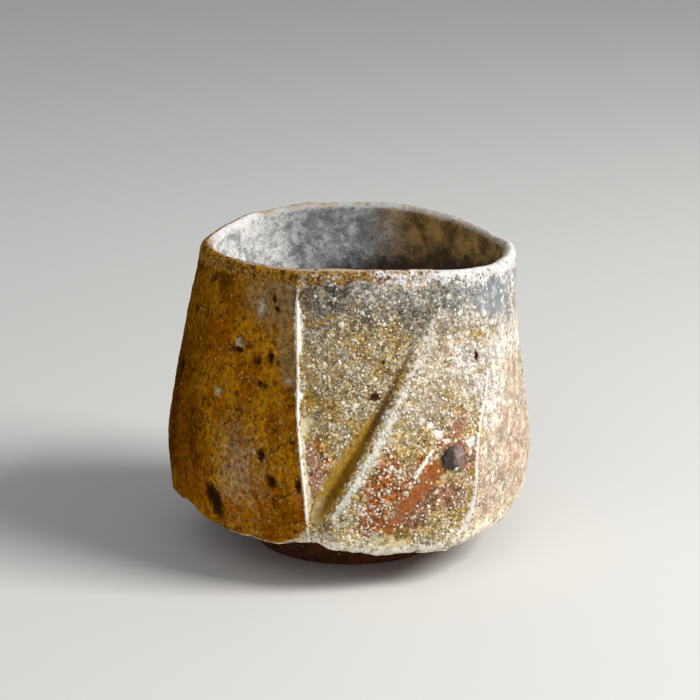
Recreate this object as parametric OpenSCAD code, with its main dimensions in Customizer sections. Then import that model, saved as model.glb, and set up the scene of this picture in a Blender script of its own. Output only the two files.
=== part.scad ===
// Guinomi: a small sake cup of hand-cut stoneware, with natural ash glaze outside and a pale glaze inside.
// The front faces -Y, +X is to the right, and the foot stands on Z = 0. Lengths are in millimetres.
// Angles go round the cup in degrees, from the front and positive to the right.

/* [Form] */
// Height of the lip at the front and back
cup_h = 53.6; // [48:0.2:62]
// Radius of the lip
rim_r = 26.8; // [24.5:0.1:29]
// How far the lip leans over to the right
rim_shift = 1.6; // [0:0.1:2.2]
// How far the lip dips at both sides
lip_dip = 1.8; // [0:0.1:3]
// How far the lip slopes down from the middle to the right
lip_tilt = 0.6; // [0:0.1:1.5]
// Radius of the belly, over its corners
belly_r = 31.9; // [30.5:0.1:34]
// Height of the belly
belly_h = 17.5; // [15:0.5:22]
// Radius of the lower edge, over its corners
edge_r = 31.3; // [29.5:0.1:33]
// Height of the lower edge
edge_h = 7.8; // [7:0.1:9.5]
// How far the lower edge dips at the front right
edge_dip = 0.8; // [0:0.1:1]
// Where the lower edge dips most
edge_dip_deg = 20; // [0:1:40]
// How much lower the lower edge hangs along the front right
edge_sag = 0.85; // [0:0.05:1]
// Where the lower edge starts to hang lower, left of the front
sag_from_deg = -10; // [-20:1:0]
// Where the lower edge is back at its height, on the right
sag_to_deg = 82; // [70:1:95]
// Angle over which the lower edge goes down and up again
sag_ease_deg = 26; // [15:1:35]
// Roundness of the lower edge at the front
edge_round = 2.1; // [1.8:0.1:3]
// How much rounder the lower edge is on the right, and sharper on the left
edge_round_side = 1.1; // [0:0.1:1.2]
// How late the wall swells below the lip: 1 is a straight taper
flare = 1.6; // [1.2:0.05:2.2]
// How much later it swells on the right, and sooner on the left
flare_side = 0.5; // [0:0.05:0.8]

/* [Facets] */
// Corner at the left
left_deg = -88; // [-100:1:-75]
// Long front ridge at the lip
ridge_top_deg = -19; // [-26:0.1:-12]
// Long front ridge at the lower edge
ridge_low_deg = -12.4; // [-20:0.1:-8]
// Thin right ridge, run on up to the lip
thin_top_deg = 60.3; // [54:0.1:70]
// Thin right ridge at the lower edge
thin_low_deg = 35.5; // [28:0.1:44]
// Corner at the right
right_deg = 97; // [88:1:108]
// Corner at the back, right of the middle
back_right_deg = 158; // [148:1:168]
// Corner at the back, left of the middle
back_left_deg = 204; // [192:1:216]
// Roundness of the cut facets on the body: 0 is flat, 1 is round
facet_round_low = 0.62; // [0.3:0.02:0.9]
// Roundness of the facets at the lip
facet_round_top = 0.88; // [0.5:0.02:1]
// Height of the long ridge over its facets
ridge_h = 0.6; // [0:0.05:1]
// Height of the thin ridge over its facets
thin_h = 0.35; // [0:0.05:0.8]
// Half width of both ridges
ridge_w = 1.6; // [1:0.1:3]
// How far the corners at the sides and back are worn down
corner_wear = 0.4; // [0:0.05:1]
// Half width of the worn corners
corner_w = 6; // [3:0.5:9]

/* [Groove] */
// Diagonal groove at the lip end, run on up to the lip
groove_top_deg = 34.8; // [30:0.2:42]
// Diagonal groove at the lower end, run on down to the lower edge
groove_low_deg = -18; // [-24:0.5:-12]
// Least angle between the groove and the long ridge
groove_clear_deg = 2.2; // [1.5:0.1:5]
// Angle from the bottom of the groove to the crest on its right
groove_flank_deg = 5.5; // [4:0.1:7]
// Depth of the groove where it is full
groove_d = 1.25; // [0.2:0.05:1.6]
// Width of the cut on the left of the groove
groove_w = 6.5; // [3:0.1:10]
// Height of the crest over its facet
crest_h = 0.55; // [0:0.05:1]
// Width over which the crest falls to its facet
crest_w = 7; // [3:0.1:10]
// Height at which the groove starts
groove_start_h = 48; // [42:0.5:50]
// Height below which the groove is full
groove_full_h = 24; // [16:0.5:30]
// How far the lower edge lifts where the long ridge and the groove meet it
groove_lift = 1.6; // [0:0.1:2]
// Angle on each side over which the lower edge lifts
groove_lift_deg = 20; // [12:1:30]

/* [Wall] */
// Half thickness and round of the lip
lip_r = 1.15; // [0.9:0.05:1.6]
// Thickness of the wall at the bowl
wall_t = 4.6; // [3.8:0.1:6]
// Height where the wall turns into the bowl
bowl_h = 24; // [18:0.5:30]
// Height of the drinking floor
floor_h = 10.4; // [9.6:0.1:12]
// Radius of the flat floor, which is the top of the base
floor_r = 17; // [14:0.1:18.5]

/* [Base and foot] */
// Radius of the base where its scarfed shoulder meets the underside
base_r = 22.5; // [21:0.1:24]
// Height of the underside at the shoulder
shoulder_h = 5.6; // [4.8:0.1:6.4]
// Film of slip between the wall and the shoulder
slip_t = 0.1; // [0.08:0.01:0.25]
// Height of the foot ring
foot_h = 3.8; // [2.8:0.1:4.2]
// Outer radius of the foot ring where it joins the base
foot_r = 17.2; // [14:0.1:19]
// Width of the foot ring where it joins the base
foot_w = 4.6; // [3.6:0.1:6]
// How far the foot ring narrows on each side towards the ground
foot_taper = 0.5; // [0:0.05:0.8]
// Worn edge at the bottom of the foot ring
foot_wear = 0.4; // [0.1:0.05:0.8]

/* [Glaze] */
// Thickness of the ash glaze outside
ash_t = 0.4; // [0.25:0.05:0.6]
// Share of the underside that the ash glaze covers
ash_under = 0.3; // [0.15:0.05:0.6]
// Thickness of the pale glaze inside
inner_t = 0.4; // [0.25:0.05:0.6]
// Thickness of the crust on the lower edge
crust_t = 0.5; // [0.2:0.05:0.8]
// Thickness of the glaze that ran together in the groove
pool_t = 0.45; // [0.2:0.05:0.8]
// Thickness at the margins of the crust and the pool
margin_t = 0.08; // [0.05:0.01:0.15]

/* [Stones] */
// Radius of the largest feldspar grains
grain_r = 0.62; // [0.4:0.02:0.8]
// Rise of a grain as a share of its radius
grain_rise = 0.55; // [0.3:0.05:0.9]
// Share of the places for grains that hold one
grain_share = 0.2; // [0.05:0.01:0.3]
// Radius of the dark stone at the front right
stone_r = 1.8; // [1:0.05:2.2]
// Depth of the stone in the wall
stone_d = 1.5; // [1:0.05:2]
// Rise of the stone over the glaze
stone_rise = 0.6; // [0.3:0.05:1]
// Height of the stone
stone_h = 21.5; // [16:0.1:32]
// Place of the stone from the groove's crest to the thin ridge
stone_place = 0.82; // [0.4:0.02:0.85]
// Clearance round the stone in its pocket
stone_gap = 0.05; // [0.02:0.01:0.12]

/* [Hidden] */
$fn = 96;

// Lines down the wall, by number
LEFT = 0;
RIDGE = 1;
VALLEY = 2;
CREST = 3;
THIN = 4;
RIGHT = 5;
BACK_RIGHT = 6;
BACK_LEFT = 7;
LEFT_AGAIN = 8;
// Lines that are corners of the cut form; each pair in turn holds one facet
CORNERS = [LEFT, RIDGE, THIN, RIGHT, BACK_RIGHT, BACK_LEFT, LEFT_AGAIN];
WORN_CORNERS = [LEFT, RIGHT, BACK_RIGHT, BACK_LEFT, LEFT_AGAIN];
// Strips of the wall: the line that each starts from, its facet and its columns
STRIPS = [[LEFT, 0, 9], [RIDGE, 1, 8], [VALLEY, 1, 2], [CREST, 1, 8], [THIN, 2, 9], [RIGHT, 3, 8],
          [BACK_RIGHT, 4, 6], [BACK_LEFT, 5, 9]];
// Share of a strip from a ridge to the first column beside it
BESIDE = 0.05;

// Sections of the wall: over the outside to the shoulder, and over the inside to the floor
LIP = 0;
SIDE = 1;
ROLL = 2;
UNDER = 3;
INSIDE = 4;
BOWL = 5;

// Shares of the wall's height over which ridges and groove run out
LOW_FADE = 0.06;
LIP_FADE = 0.1;
THIN_FADE = [0.5, 0.65];
// How soon the swelling wall settles at the belly
SETTLE = 1.4;
// How hollow the cut on the left of the groove is
HOLLOW = 1.5;

function lerp(a, b, t) = a + (b - a) * t;
function unit(t) = max(0, min(1, t));
function ease(t) = unit(t) * unit(t) * (3 - 2 * unit(t));
function ramp(from, to, x) = ease((x - from) / (to - from));
function peak(x) = pow(1 - min(1, abs(x)), 2);
function around(r, deg, z) = [r * sin(deg), -r * cos(deg), z];

// Angles of the lines at a share of the wall's height
function ridge_deg(h) = lerp(ridge_low_deg, ridge_top_deg, h);
function valley_deg(h) = max(lerp(groove_low_deg, groove_top_deg, h), ridge_deg(h) + groove_clear_deg);
function thin_deg(h) = lerp(thin_low_deg, thin_top_deg, h);
function line_deg(line, h) = [
    left_deg, ridge_deg(h), valley_deg(h), valley_deg(h) + groove_flank_deg, thin_deg(h),
    right_deg, back_right_deg, back_left_deg, left_deg + 360
][line];

// Heights of the lip and the lower edge round the cup, and a height as a share of the wall
function lip_z(deg) = cup_h - lip_dip * pow(sin(deg), 2) - lip_tilt * sin(deg);
function edge_sag_at(deg) =
    edge_sag * ramp(sag_from_deg, sag_from_deg + sag_ease_deg, deg)
    * ramp(sag_to_deg, sag_to_deg - sag_ease_deg, deg);
function edge_z(deg) =
    edge_h - edge_dip * cos(deg - edge_dip_deg) - edge_sag_at(deg)
    + groove_lift * peak((deg - ridge_deg(0)) / groove_lift_deg);
function roll_r(deg) = edge_round + edge_round_side * sin(deg);
function share(z) = unit((z - edge_h) / (cup_h - edge_h));

// Columns of the wall: the line on the left, the facet, and the share of the way to the next line
function column_share(i, n) = n < 4 ? i / n : i == 0 ? 0 : lerp(BESIDE, 1 - BESIDE, (i - 1) / (n - 2));
COLUMNS = [for (s = STRIPS) for (i = [0 : s[2] - 1]) [s[0], s[1], column_share(i, s[2])]];
function column_deg(c, h) = lerp(line_deg(c[0], h), line_deg(c[0] + 1, h), c[2]);

// Radius over the corners: a swelling wall above the belly, and a slight draw-in below it
function corner_r(deg, z) =
    let (drop = unit((lip_z(deg) - z) / (lip_z(deg) - belly_h)))
    let (swell = 1 - pow(1 - pow(drop, flare + flare_side * sin(deg)), SETTLE))
    z > belly_h ? lerp(rim_r + rim_shift * sin(deg), belly_r, swell)
                : lerp(belly_r, edge_r, ramp(belly_h, edge_h, z));

// Radius of a facet: between the straight cut and the round of the thrown form
function facet_r(facet, deg, z) =
    let (h = share(z), from = line_deg(CORNERS[facet], h), to = line_deg(CORNERS[facet + 1], h))
    let (r0 = corner_r(from, z), r1 = corner_r(to, z))
    let (cut = r0 * r1 * sin(to - from) / (r0 * sin(deg - from) + r1 * sin(to - deg)))
    let (thrown = lerp(r0, r1, (deg - from) / (to - from)))
    lerp(cut, thrown, lerp(facet_round_low, facet_round_top, h * h));

// The groove: a broad cut on its left, a steep flank up to the crest on its right
function groove(d, flank) =
    d < 0 ? -groove_d * pow(1 - min(1, -d / groove_w), HOLLOW)
    : d < flank ? lerp(-groove_d, crest_h, ease(d / flank))
    : crest_h * peak((d - flank) / crest_w);

// Ridges, groove and worn corners, measured from the facets
function relief(deg, r, z) =
    let (h = share(z), mm = r * PI / 180)
    let (low = ease(h / LOW_FADE), high = ease((1 - h) / LIP_FADE))
    let (worn = max([for (line = WORN_CORNERS) peak(mm * (deg - line_deg(line, h)) / corner_w)]))
    ridge_h * low * high * peak(mm * (deg - ridge_deg(h)) / ridge_w)
    + thin_h * low * ramp(THIN_FADE[1], THIN_FADE[0], h) * peak(mm * (deg - thin_deg(h)) / ridge_w)
    + groove(mm * (deg - valley_deg(h)), mm * groove_flank_deg) * low * ramp(groove_start_h, groove_full_h, z)
    - corner_wear * (1 - h * h) * worn;
function side_r(facet, deg, z) = let (r = facet_r(facet, deg, z)) r + relief(deg, r, z);

// A point of the lip, of the outside or of the inside, a depth under its glazed surface
function lip_point(c, turn, depth) =
    let (deg = column_deg(c, 1), z = lip_z(deg) - lip_r, r = facet_r(c[1], deg, z) - lip_r)
    around(r + (lip_r - depth) * cos(turn), deg, z + (lip_r - depth) * sin(turn));
function side_point(c, z, depth) =
    let (deg = column_deg(c, share(z)))
    around(side_r(c[1], deg, z) - depth, deg, z);
function roll_point(c, turn, depth) =
    let (deg = column_deg(c, 0), roll = roll_r(deg), z = edge_z(deg) + roll)
    around(side_r(c[1], deg, z) - roll + (roll - depth) * cos(turn), deg, z + (roll - depth) * sin(turn));
function under_point(c, part, depth) =
    let (deg = column_deg(c, 0), roll = roll_r(deg), r = side_r(c[1], deg, edge_z(deg) + roll) - roll)
    around(lerp(r, base_r, part), deg, lerp(edge_z(deg) + depth, shoulder_h, part));
function inside_r(c, deg, z) =
    facet_r(c[1], deg, z) - lerp(2 * lip_r, wall_t, ramp(cup_h, bowl_h, z));
function inside_point(c, part, depth) =
    let (z = lerp(lip_z(column_deg(c, 1)) - lip_r, bowl_h, part), deg = column_deg(c, share(z)))
    around(inside_r(c, deg, z) + depth, deg, z);
function bowl_point(c, turn, depth) =
    let (deg = column_deg(c, share(bowl_h)), r = inside_r(c, deg, bowl_h) - floor_r + depth)
    let (deep = bowl_h - floor_h + depth)
    around(floor_r + r * cos(turn), deg, bowl_h - deep * sin(turn));
function wall_point(c, row, depth) =
    row[0] == LIP ? lip_point(c, row[1], depth)
    : row[0] == ROLL ? roll_point(c, row[1], depth)
    : row[0] == UNDER ? under_point(c, row[1], depth)
    : row[0] == INSIDE ? inside_point(c, row[1], depth)
    : row[0] == BOWL ? bowl_point(c, row[1], depth)
    : let (deg = column_deg(c, 1 - row[1]))
      side_point(c, lerp(lip_z(deg) - lip_r, edge_z(deg) + roll_r(deg), row[1]), depth);

// Rows of points, from the lip's crest down: a section with the turn in degrees or the share of the way
SIDE_ROWS = 15;
INSIDE_ROWS = 5;
BOWL_TURN = 18;
CREST_ROW = [LIP, 90];
OUTER_ROWS = concat([CREST_ROW, [LIP, 50], [LIP, 15]], [for (i = [1 : SIDE_ROWS]) [SIDE, i / SIDE_ROWS]],
                    [[ROLL, -35], [ROLL, -65], [ROLL, -90], [UNDER, ash_under]]);
INNER_ROWS = concat([[LIP, 130], [LIP, 165]], [for (i = [1 : INSIDE_ROWS]) [INSIDE, i / INSIDE_ROWS]],
                    [for (turn = [BOWL_TURN : BOWL_TURN : 90]) [BOWL, turn]]);
// Both glazes end on the lip's crest, where they are equally thick
CREST_T = (ash_t + inner_t) / 2;
function depth_at(row, depth) = row == CREST_ROW && depth > 0 ? CREST_T : depth;
function rings(rows, depth) = [for (row = rows) [for (c = COLUMNS) wall_point(c, row, depth_at(row, depth))]];
function backwards(list) = [for (i = [len(list) - 1 : -1 : 0]) list[i]];

// Faces between two neighbouring rings of n points that start at a and b in the list of points.
// Each diagonal runs from a point of the upper ring to the next one of the lower ring, so that walls
// that touch are cut alike.
function band(a, b, n, rising) = [
    for (i = [0 : n - 1]) let (j = (i + 1) % n)
        each rising ? [[a + i, a + j, b + i], [a + j, b + j, b + i]]
                    : [[a + i, a + j, b + j], [a + i, b + j, b + i]]
];

// A solid of rings that go down one side and back up the other
module ring_solid(down, up) {
    n = len(COLUMNS);
    loop = concat(down, up);
    count = len(loop);
    polyhedron([for (ring = loop) each ring],
        [for (k = [0 : count - 1]) each band(k * n, (k + 1) % count * n, n, k >= len(down))]);
}

// A solid of rings that go up one side from a point on the axis, and down the other to a last point on it
module capped_solid(first, up, down, last) {
    n = len(COLUMNS);
    loop = concat(up, down);
    end = 1 + len(loop) * n;
    polyhedron(concat([first], [for (ring = loop) each ring], [last]),
        concat([for (i = [0 : n - 1]) [0, 1 + (i + 1) % n, 1 + i]],
               [for (k = [0 : len(loop) - 2]) each band(1 + k * n, 1 + (k + 1) * n, n, k < len(up) - 1)],
               [for (i = [0 : n - 1]) [end - n + i, end - n + (i + 1) % n, end]]));
}

// A deposit on some columns and rows of the ash glaze, from thin margins to a full middle
module deposit(columns, rows, thickness) {
    m = len(columns);
    n = len(rows);
    size = m * n;
    function hump(i, count) = ease(DEPOSIT_FULL * sin(180 * i / (count - 1)));
    function over(i, j) = margin_t + thickness * hump(i, m) * hump(j, n);
    border = concat([for (i = [0 : m - 2]) i], [for (j = [0 : n - 2]) j * m + m - 1],
                    [for (i = [m - 1 : -1 : 1]) (n - 1) * m + i], [for (j = [n - 1 : -1 : 1]) j * m]);
    cells = [for (j = [0 : n - 2]) for (i = [0 : m - 2]) j * m + i];
    polyhedron(
        concat([for (row = rows) for (c = columns) wall_point(c, row, 0)],
               [for (j = [0 : n - 1]) for (i = [0 : m - 1]) wall_point(columns[i], rows[j], -over(i, j))]),
        concat([for (a = cells) each [[a, a + m + 1, a + 1], [a, a + m, a + m + 1]]],
               [for (a = cells) let (b = size + a) each [[b, b + 1, b + m + 1], [b, b + m + 1, b + m]]],
               [for (k = [0 : len(border) - 1]) let (a = border[k], b = border[(k + 1) % len(border)])
                   each [[a, b, size + b], [a, size + b, size + a]]]));
}

// The crust lies along the lower edge at the front, and the pool in the lower end of the groove
DEPOSIT_FULL = 1.5;
CRUST_FROM = 0.45;
CRUST_TO = 0.55;
CRUST_COLUMNS = [for (c = COLUMNS)
    if ((c[0] == LEFT && c[2] > CRUST_FROM) || (c[0] > LEFT && c[0] < THIN)
        || (c[0] == THIN && c[2] < CRUST_TO)) c];
CRUST_ROWS = [[SIDE, 1 - 1 / SIDE_ROWS], [SIDE, 1], [ROLL, -35], [ROLL, -65], [ROLL, -90]];
POOL_FROM = 0.6;
POOL_TOP_ROW = SIDE_ROWS - 6;
POOL_LOW_ROW = SIDE_ROWS - 2;
POOL_COLUMNS = [for (c = COLUMNS) if ((c[0] == RIDGE && c[2] > POOL_FROM) || c[0] == VALLEY) c];
POOL_ROWS = [for (i = [POOL_TOP_ROW : POOL_LOW_ROW]) [SIDE, i / SIDE_ROWS]];
// Places for grains: clear of the crust, of the pool and of the lip
function open_place(c, row) =
    !(row > POOL_LOW_ROW && c[0] <= THIN) && !(row >= POOL_TOP_ROW && (c[0] == RIDGE || c[0] == VALLEY));
GRAIN_TOP_ROW = 2;
GRAIN_SEED = 11;
// A grain fits inside one face of the glaze; faces narrower than this stay bare
GRAIN_FIT = 0.9;
GRAIN_ROOM = 0.35;
GRAIN_LEAST = 0.6;

// Where the dark stone sits: a point of the glazed surface, and the way out from it
STONE_STEP = 0.1;
STONE_COLUMN = [CREST, 1, stone_place];
STONE_AT = side_point(STONE_COLUMN, stone_h, 0);
STONE_ACROSS = side_point(STONE_COLUMN + [0, 0, STONE_STEP], stone_h, 0)
    - side_point(STONE_COLUMN - [0, 0, STONE_STEP], stone_h, 0);
STONE_UP = side_point(STONE_COLUMN, stone_h + stone_r, 0) - side_point(STONE_COLUMN, stone_h - stone_r, 0);
STONE_OUT = cross(STONE_ACROSS, STONE_UP) / norm(cross(STONE_ACROSS, STONE_UP));

// Puts a shape on a point, with its Z axis along a direction
module set_on(point, out) {
    translate(point) rotate([0, acos(out.z), atan2(out.y, out.x)]) children();
}

module stone_pocket() {
    set_on(STONE_AT, STONE_OUT) translate([0, 0, -stone_d])
        cylinder(r = stone_r + stone_gap, h = stone_d + 2 * stone_rise);
}

// The hand-built wall with its cut facets, ridges and groove
module carved_wall() {
    color("rosybrown") difference() {
        ring_solid(rings(concat(OUTER_ROWS, [[UNDER, 1]]), ash_t), rings(backwards(INNER_ROWS), inner_t));
        stone_pocket();
    }
}

// The round base, whose scarfed shoulder carries the wall
module base_disc() {
    color("saddlebrown") rotate_extrude() polygon([
        [0, foot_h], [foot_r, foot_h], [base_r - slip_t, shoulder_h],
        [floor_r - slip_t, floor_h - inner_t], [0, floor_h - inner_t]
    ]);
}

// The foot ring that is luted under the base
module foot_ring() {
    outer = foot_r - foot_taper;
    inner = foot_r - foot_w + foot_taper;
    color("sienna") rotate_extrude() polygon([
        [foot_r - foot_w, foot_h], [inner, foot_wear], [inner + foot_wear, 0],
        [outer - foot_wear, 0], [outer, foot_wear], [foot_r, foot_h]
    ]);
}

// The ash glaze, from the lip's crest over the outside and round the lower edge
module ash_glaze() {
    color("darkkhaki") difference() {
        ring_solid(rings(OUTER_ROWS, 0), rings(backwards(OUTER_ROWS), ash_t));
        stone_pocket();
    }
}

// The pale glaze, from the lip's crest over the inside to the middle of the floor
module inner_glaze() {
    rows = concat([CREST_ROW], INNER_ROWS);
    color("lightsteelblue") capped_solid(
        [0, 0, floor_h], rings(backwards(rows), 0), rings(rows, inner_t), [0, 0, floor_h - inner_t]);
}

// The white crust of ash along the lower edge
module edge_crust() {
    color("ivory") deposit(CRUST_COLUMNS, CRUST_ROWS, crust_t);
}

// The glaze that ran together at the lower end of the groove
module groove_pool() {
    color("olive") deposit(POOL_COLUMNS, POOL_ROWS, pool_t);
}

// One grain: a blunt cone with a flat crown
module grain(r) {
    rise = grain_rise * r;
    rotate_extrude($fn = 16) polygon([[0, 0], [r, 0], [0.75 * r, 0.7 * rise], [0.3 * r, rise], [0, rise]]);
}

// The feldspar grains that stand out of the glaze, each flat on one face of it
module feldspar_grains() {
    n = len(COLUMNS);
    places = n * SIDE_ROWS;
    chance = rands(0, 1, 2 * places, GRAIN_SEED);
    color("white") for (i = [0 : n - 1]) for (j = [GRAIN_TOP_ROW : SIDE_ROWS - 1]) {
        next = COLUMNS[(i + 1) % n];
        p = wall_point(COLUMNS[i], [SIDE, j / SIDE_ROWS], 0);
        q = wall_point(next, [SIDE, j / SIDE_ROWS], 0);
        s = wall_point(next, [SIDE, (j + 1) / SIDE_ROWS], 0);
        girth = norm(q - s) + norm(s - p) + norm(p - q);
        middle = (norm(q - s) * p + norm(s - p) * q + norm(p - q) * s) / girth;
        room = norm(cross(q - p, s - p)) / girth;
        place = i * SIDE_ROWS + j;
        r = min(grain_r, GRAIN_FIT * room) * lerp(GRAIN_LEAST, 1, chance[places + place]);
        clear = norm(middle - STONE_AT) > stone_r + 2 * grain_r;
        if (chance[place] < grain_share && room > GRAIN_ROOM && clear && open_place(COLUMNS[i], j))
            set_on(middle, cross(s - p, q - p) / norm(cross(s - p, q - p))) grain(r);
    }
}

// The dark stone that the firing drove out of the wall
module dark_stone() {
    color("dimgray") set_on(STONE_AT, STONE_OUT) rotate_extrude($fn = 48) polygon([
        [0, -stone_d], [stone_r, -stone_d], [stone_r, 0.1 * stone_rise], [0.8 * stone_r, 0.65 * stone_rise],
        [0.4 * stone_r, stone_rise], [0, stone_rise]
    ]);
}

carved_wall();
base_disc();
foot_ring();
ash_glaze();
inner_glaze();
edge_crust();
groove_pool();
feldspar_grains();
dark_stone();
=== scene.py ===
"""A hand-cut guinomi of ash-glazed stoneware: its glazes, grains and clay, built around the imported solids."""

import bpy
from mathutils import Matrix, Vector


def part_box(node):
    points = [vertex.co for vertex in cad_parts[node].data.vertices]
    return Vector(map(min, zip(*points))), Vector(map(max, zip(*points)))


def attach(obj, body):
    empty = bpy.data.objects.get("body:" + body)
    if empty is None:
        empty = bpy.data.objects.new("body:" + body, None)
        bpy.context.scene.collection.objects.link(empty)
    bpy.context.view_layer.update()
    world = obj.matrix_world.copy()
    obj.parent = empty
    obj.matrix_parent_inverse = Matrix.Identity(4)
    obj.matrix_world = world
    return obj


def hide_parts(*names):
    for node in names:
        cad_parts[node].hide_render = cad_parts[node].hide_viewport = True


bl_info = {
    "name": "Hand-cut guinomi",
    "version": (1, 0, 0),
    "blender": (4, 5, 0),
    "location": "View3D > Sidebar > Guinomi",
    "description": "Glazes, feldspar grains and bare clay of a small hand-cut sake cup",
    "category": "Object",
}

import math
from collections import namedtuple
from functools import partial

import bmesh
import bpy
import numpy as np
from bpy.props import FloatProperty, FloatVectorProperty, IntProperty, PointerProperty
from bpy.types import Operator, Panel, PropertyGroup
from mathutils import Vector, noise

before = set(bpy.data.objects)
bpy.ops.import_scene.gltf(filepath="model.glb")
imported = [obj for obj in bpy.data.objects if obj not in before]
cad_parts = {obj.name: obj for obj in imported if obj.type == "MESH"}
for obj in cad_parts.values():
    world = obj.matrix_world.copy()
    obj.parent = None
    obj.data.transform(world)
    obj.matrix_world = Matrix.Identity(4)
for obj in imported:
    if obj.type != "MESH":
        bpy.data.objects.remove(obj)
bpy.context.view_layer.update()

MM = 0.001
FULL_TURN = 2 * math.pi
FOOT_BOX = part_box("foot_ring")
BASE_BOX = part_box("base_disc")
INNER_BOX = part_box("inner_glaze")

# Lines down the wall, by number, and the pairs of corners between which the facets lie
LEFT, RIDGE, VALLEY, CREST, THIN, RIGHT, BACK_RIGHT, BACK_LEFT, LEFT_AGAIN = range(9)
CORNERS = [LEFT, RIDGE, THIN, RIGHT, BACK_RIGHT, BACK_LEFT, LEFT_AGAIN]
WORN_CORNERS = [LEFT, RIGHT, BACK_RIGHT, BACK_LEFT, LEFT_AGAIN]
# Columns of the finest mesh between each line and the next
STRIP_COLUMNS = {LEFT: 100, RIDGE: 62, VALLEY: 12, CREST: 80, THIN: 84, RIGHT: 74,
                 BACK_RIGHT: 56, BACK_LEFT: 82}
# How far columns crowd towards the lines
CROWDING = 0.55

# Sections of the wall's outline, from the lip's crest down the outside and down the inside
LIP, SIDE, ROLL, UNDER, INSIDE, BOWL, FLOOR = range(7)

Columns = namedtuple("Columns", "line share")


def length(name, description, default):
    """A size in metres."""
    return FloatProperty(name=name, description=description, default=default, unit="LENGTH", precision=5)


def angle(name, description, degrees):
    """A turn round the cup from the front, positive to the right."""
    return FloatProperty(name=name, description=description, default=math.radians(degrees), subtype="ANGLE")


def colour(name, description, default):
    """A colour of a finish, in linear values."""
    return FloatVectorProperty(name=name, description=description, default=(*default, 1.0), size=4,
                               subtype="COLOR", min=0.0, max=1.0)


class CupForm(PropertyGroup):
    """The thrown form: lip, belly, lower edge, inside and foot."""
    height: length("Height", "Height of the lip at the front and back", 53.6 * MM)
    lip_radius: length("Lip radius", "Radius of the lip", 26.8 * MM)
    lip_shift: length("Lip shift", "How far the lip leans over to the right", 1.6 * MM)
    lip_dip: length("Lip dip", "How far the lip dips at both sides", 1.8 * MM)
    lip_tilt: length("Lip tilt", "How far the lip slopes down to the right", 0.6 * MM)
    lip_round: length("Lip round", "Half thickness and round of the lip", 1.15 * MM)
    belly_radius: length("Belly radius", "Radius of the belly over its corners", 31.9 * MM)
    belly_height: length("Belly height", "Height of the belly", 17.5 * MM)
    edge_radius: length("Edge radius", "Radius of the lower edge over its corners", 31.3 * MM)
    edge_height: length("Edge height", "Height of the lower edge", 7.8 * MM)
    edge_dip: length("Edge dip", "How far the lower edge dips at the front right", 0.8 * MM)
    edge_dip_turn: angle("Edge dip turn", "Where the lower edge dips most", 20)
    edge_sag: length("Edge sag", "How much lower the lower edge hangs along the front right", 0.85 * MM)
    sag_from: angle("Sag start", "Where the lower edge starts to hang lower", -10)
    sag_to: angle("Sag end", "Where the lower edge is back at its height", 82)
    sag_ease: angle("Sag ease", "Angle over which the lower edge goes down and up again", 26)
    edge_round: length("Edge round", "Roundness of the lower edge at the front", 2.1 * MM)
    edge_round_side: length("Edge round at the sides", "How much rounder the lower edge is on the right",
                            1.1 * MM)
    flare: FloatProperty(name="Flare", description="How late the wall swells below the lip", default=1.6)
    flare_side: FloatProperty(name="Flare at the sides", description="How much later it swells on the right",
                              default=0.5)
    wall: length("Wall", "Thickness of the wall at the bowl", 4.6 * MM)
    bowl_height: length("Bowl height", "Height where the wall turns into the bowl", 24 * MM)
    floor_height: length("Floor height", "Height of the drinking floor", INNER_BOX[0].z + 0.4 * MM)
    floor_radius: length("Floor radius", "Radius of the flat floor", 17 * MM)
    base_radius: length("Base radius", "Radius of the base at its shoulder", BASE_BOX[1].x + 0.1 * MM)
    shoulder_height: length("Shoulder height", "Height of the underside at the shoulder", 5.6 * MM)


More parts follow.
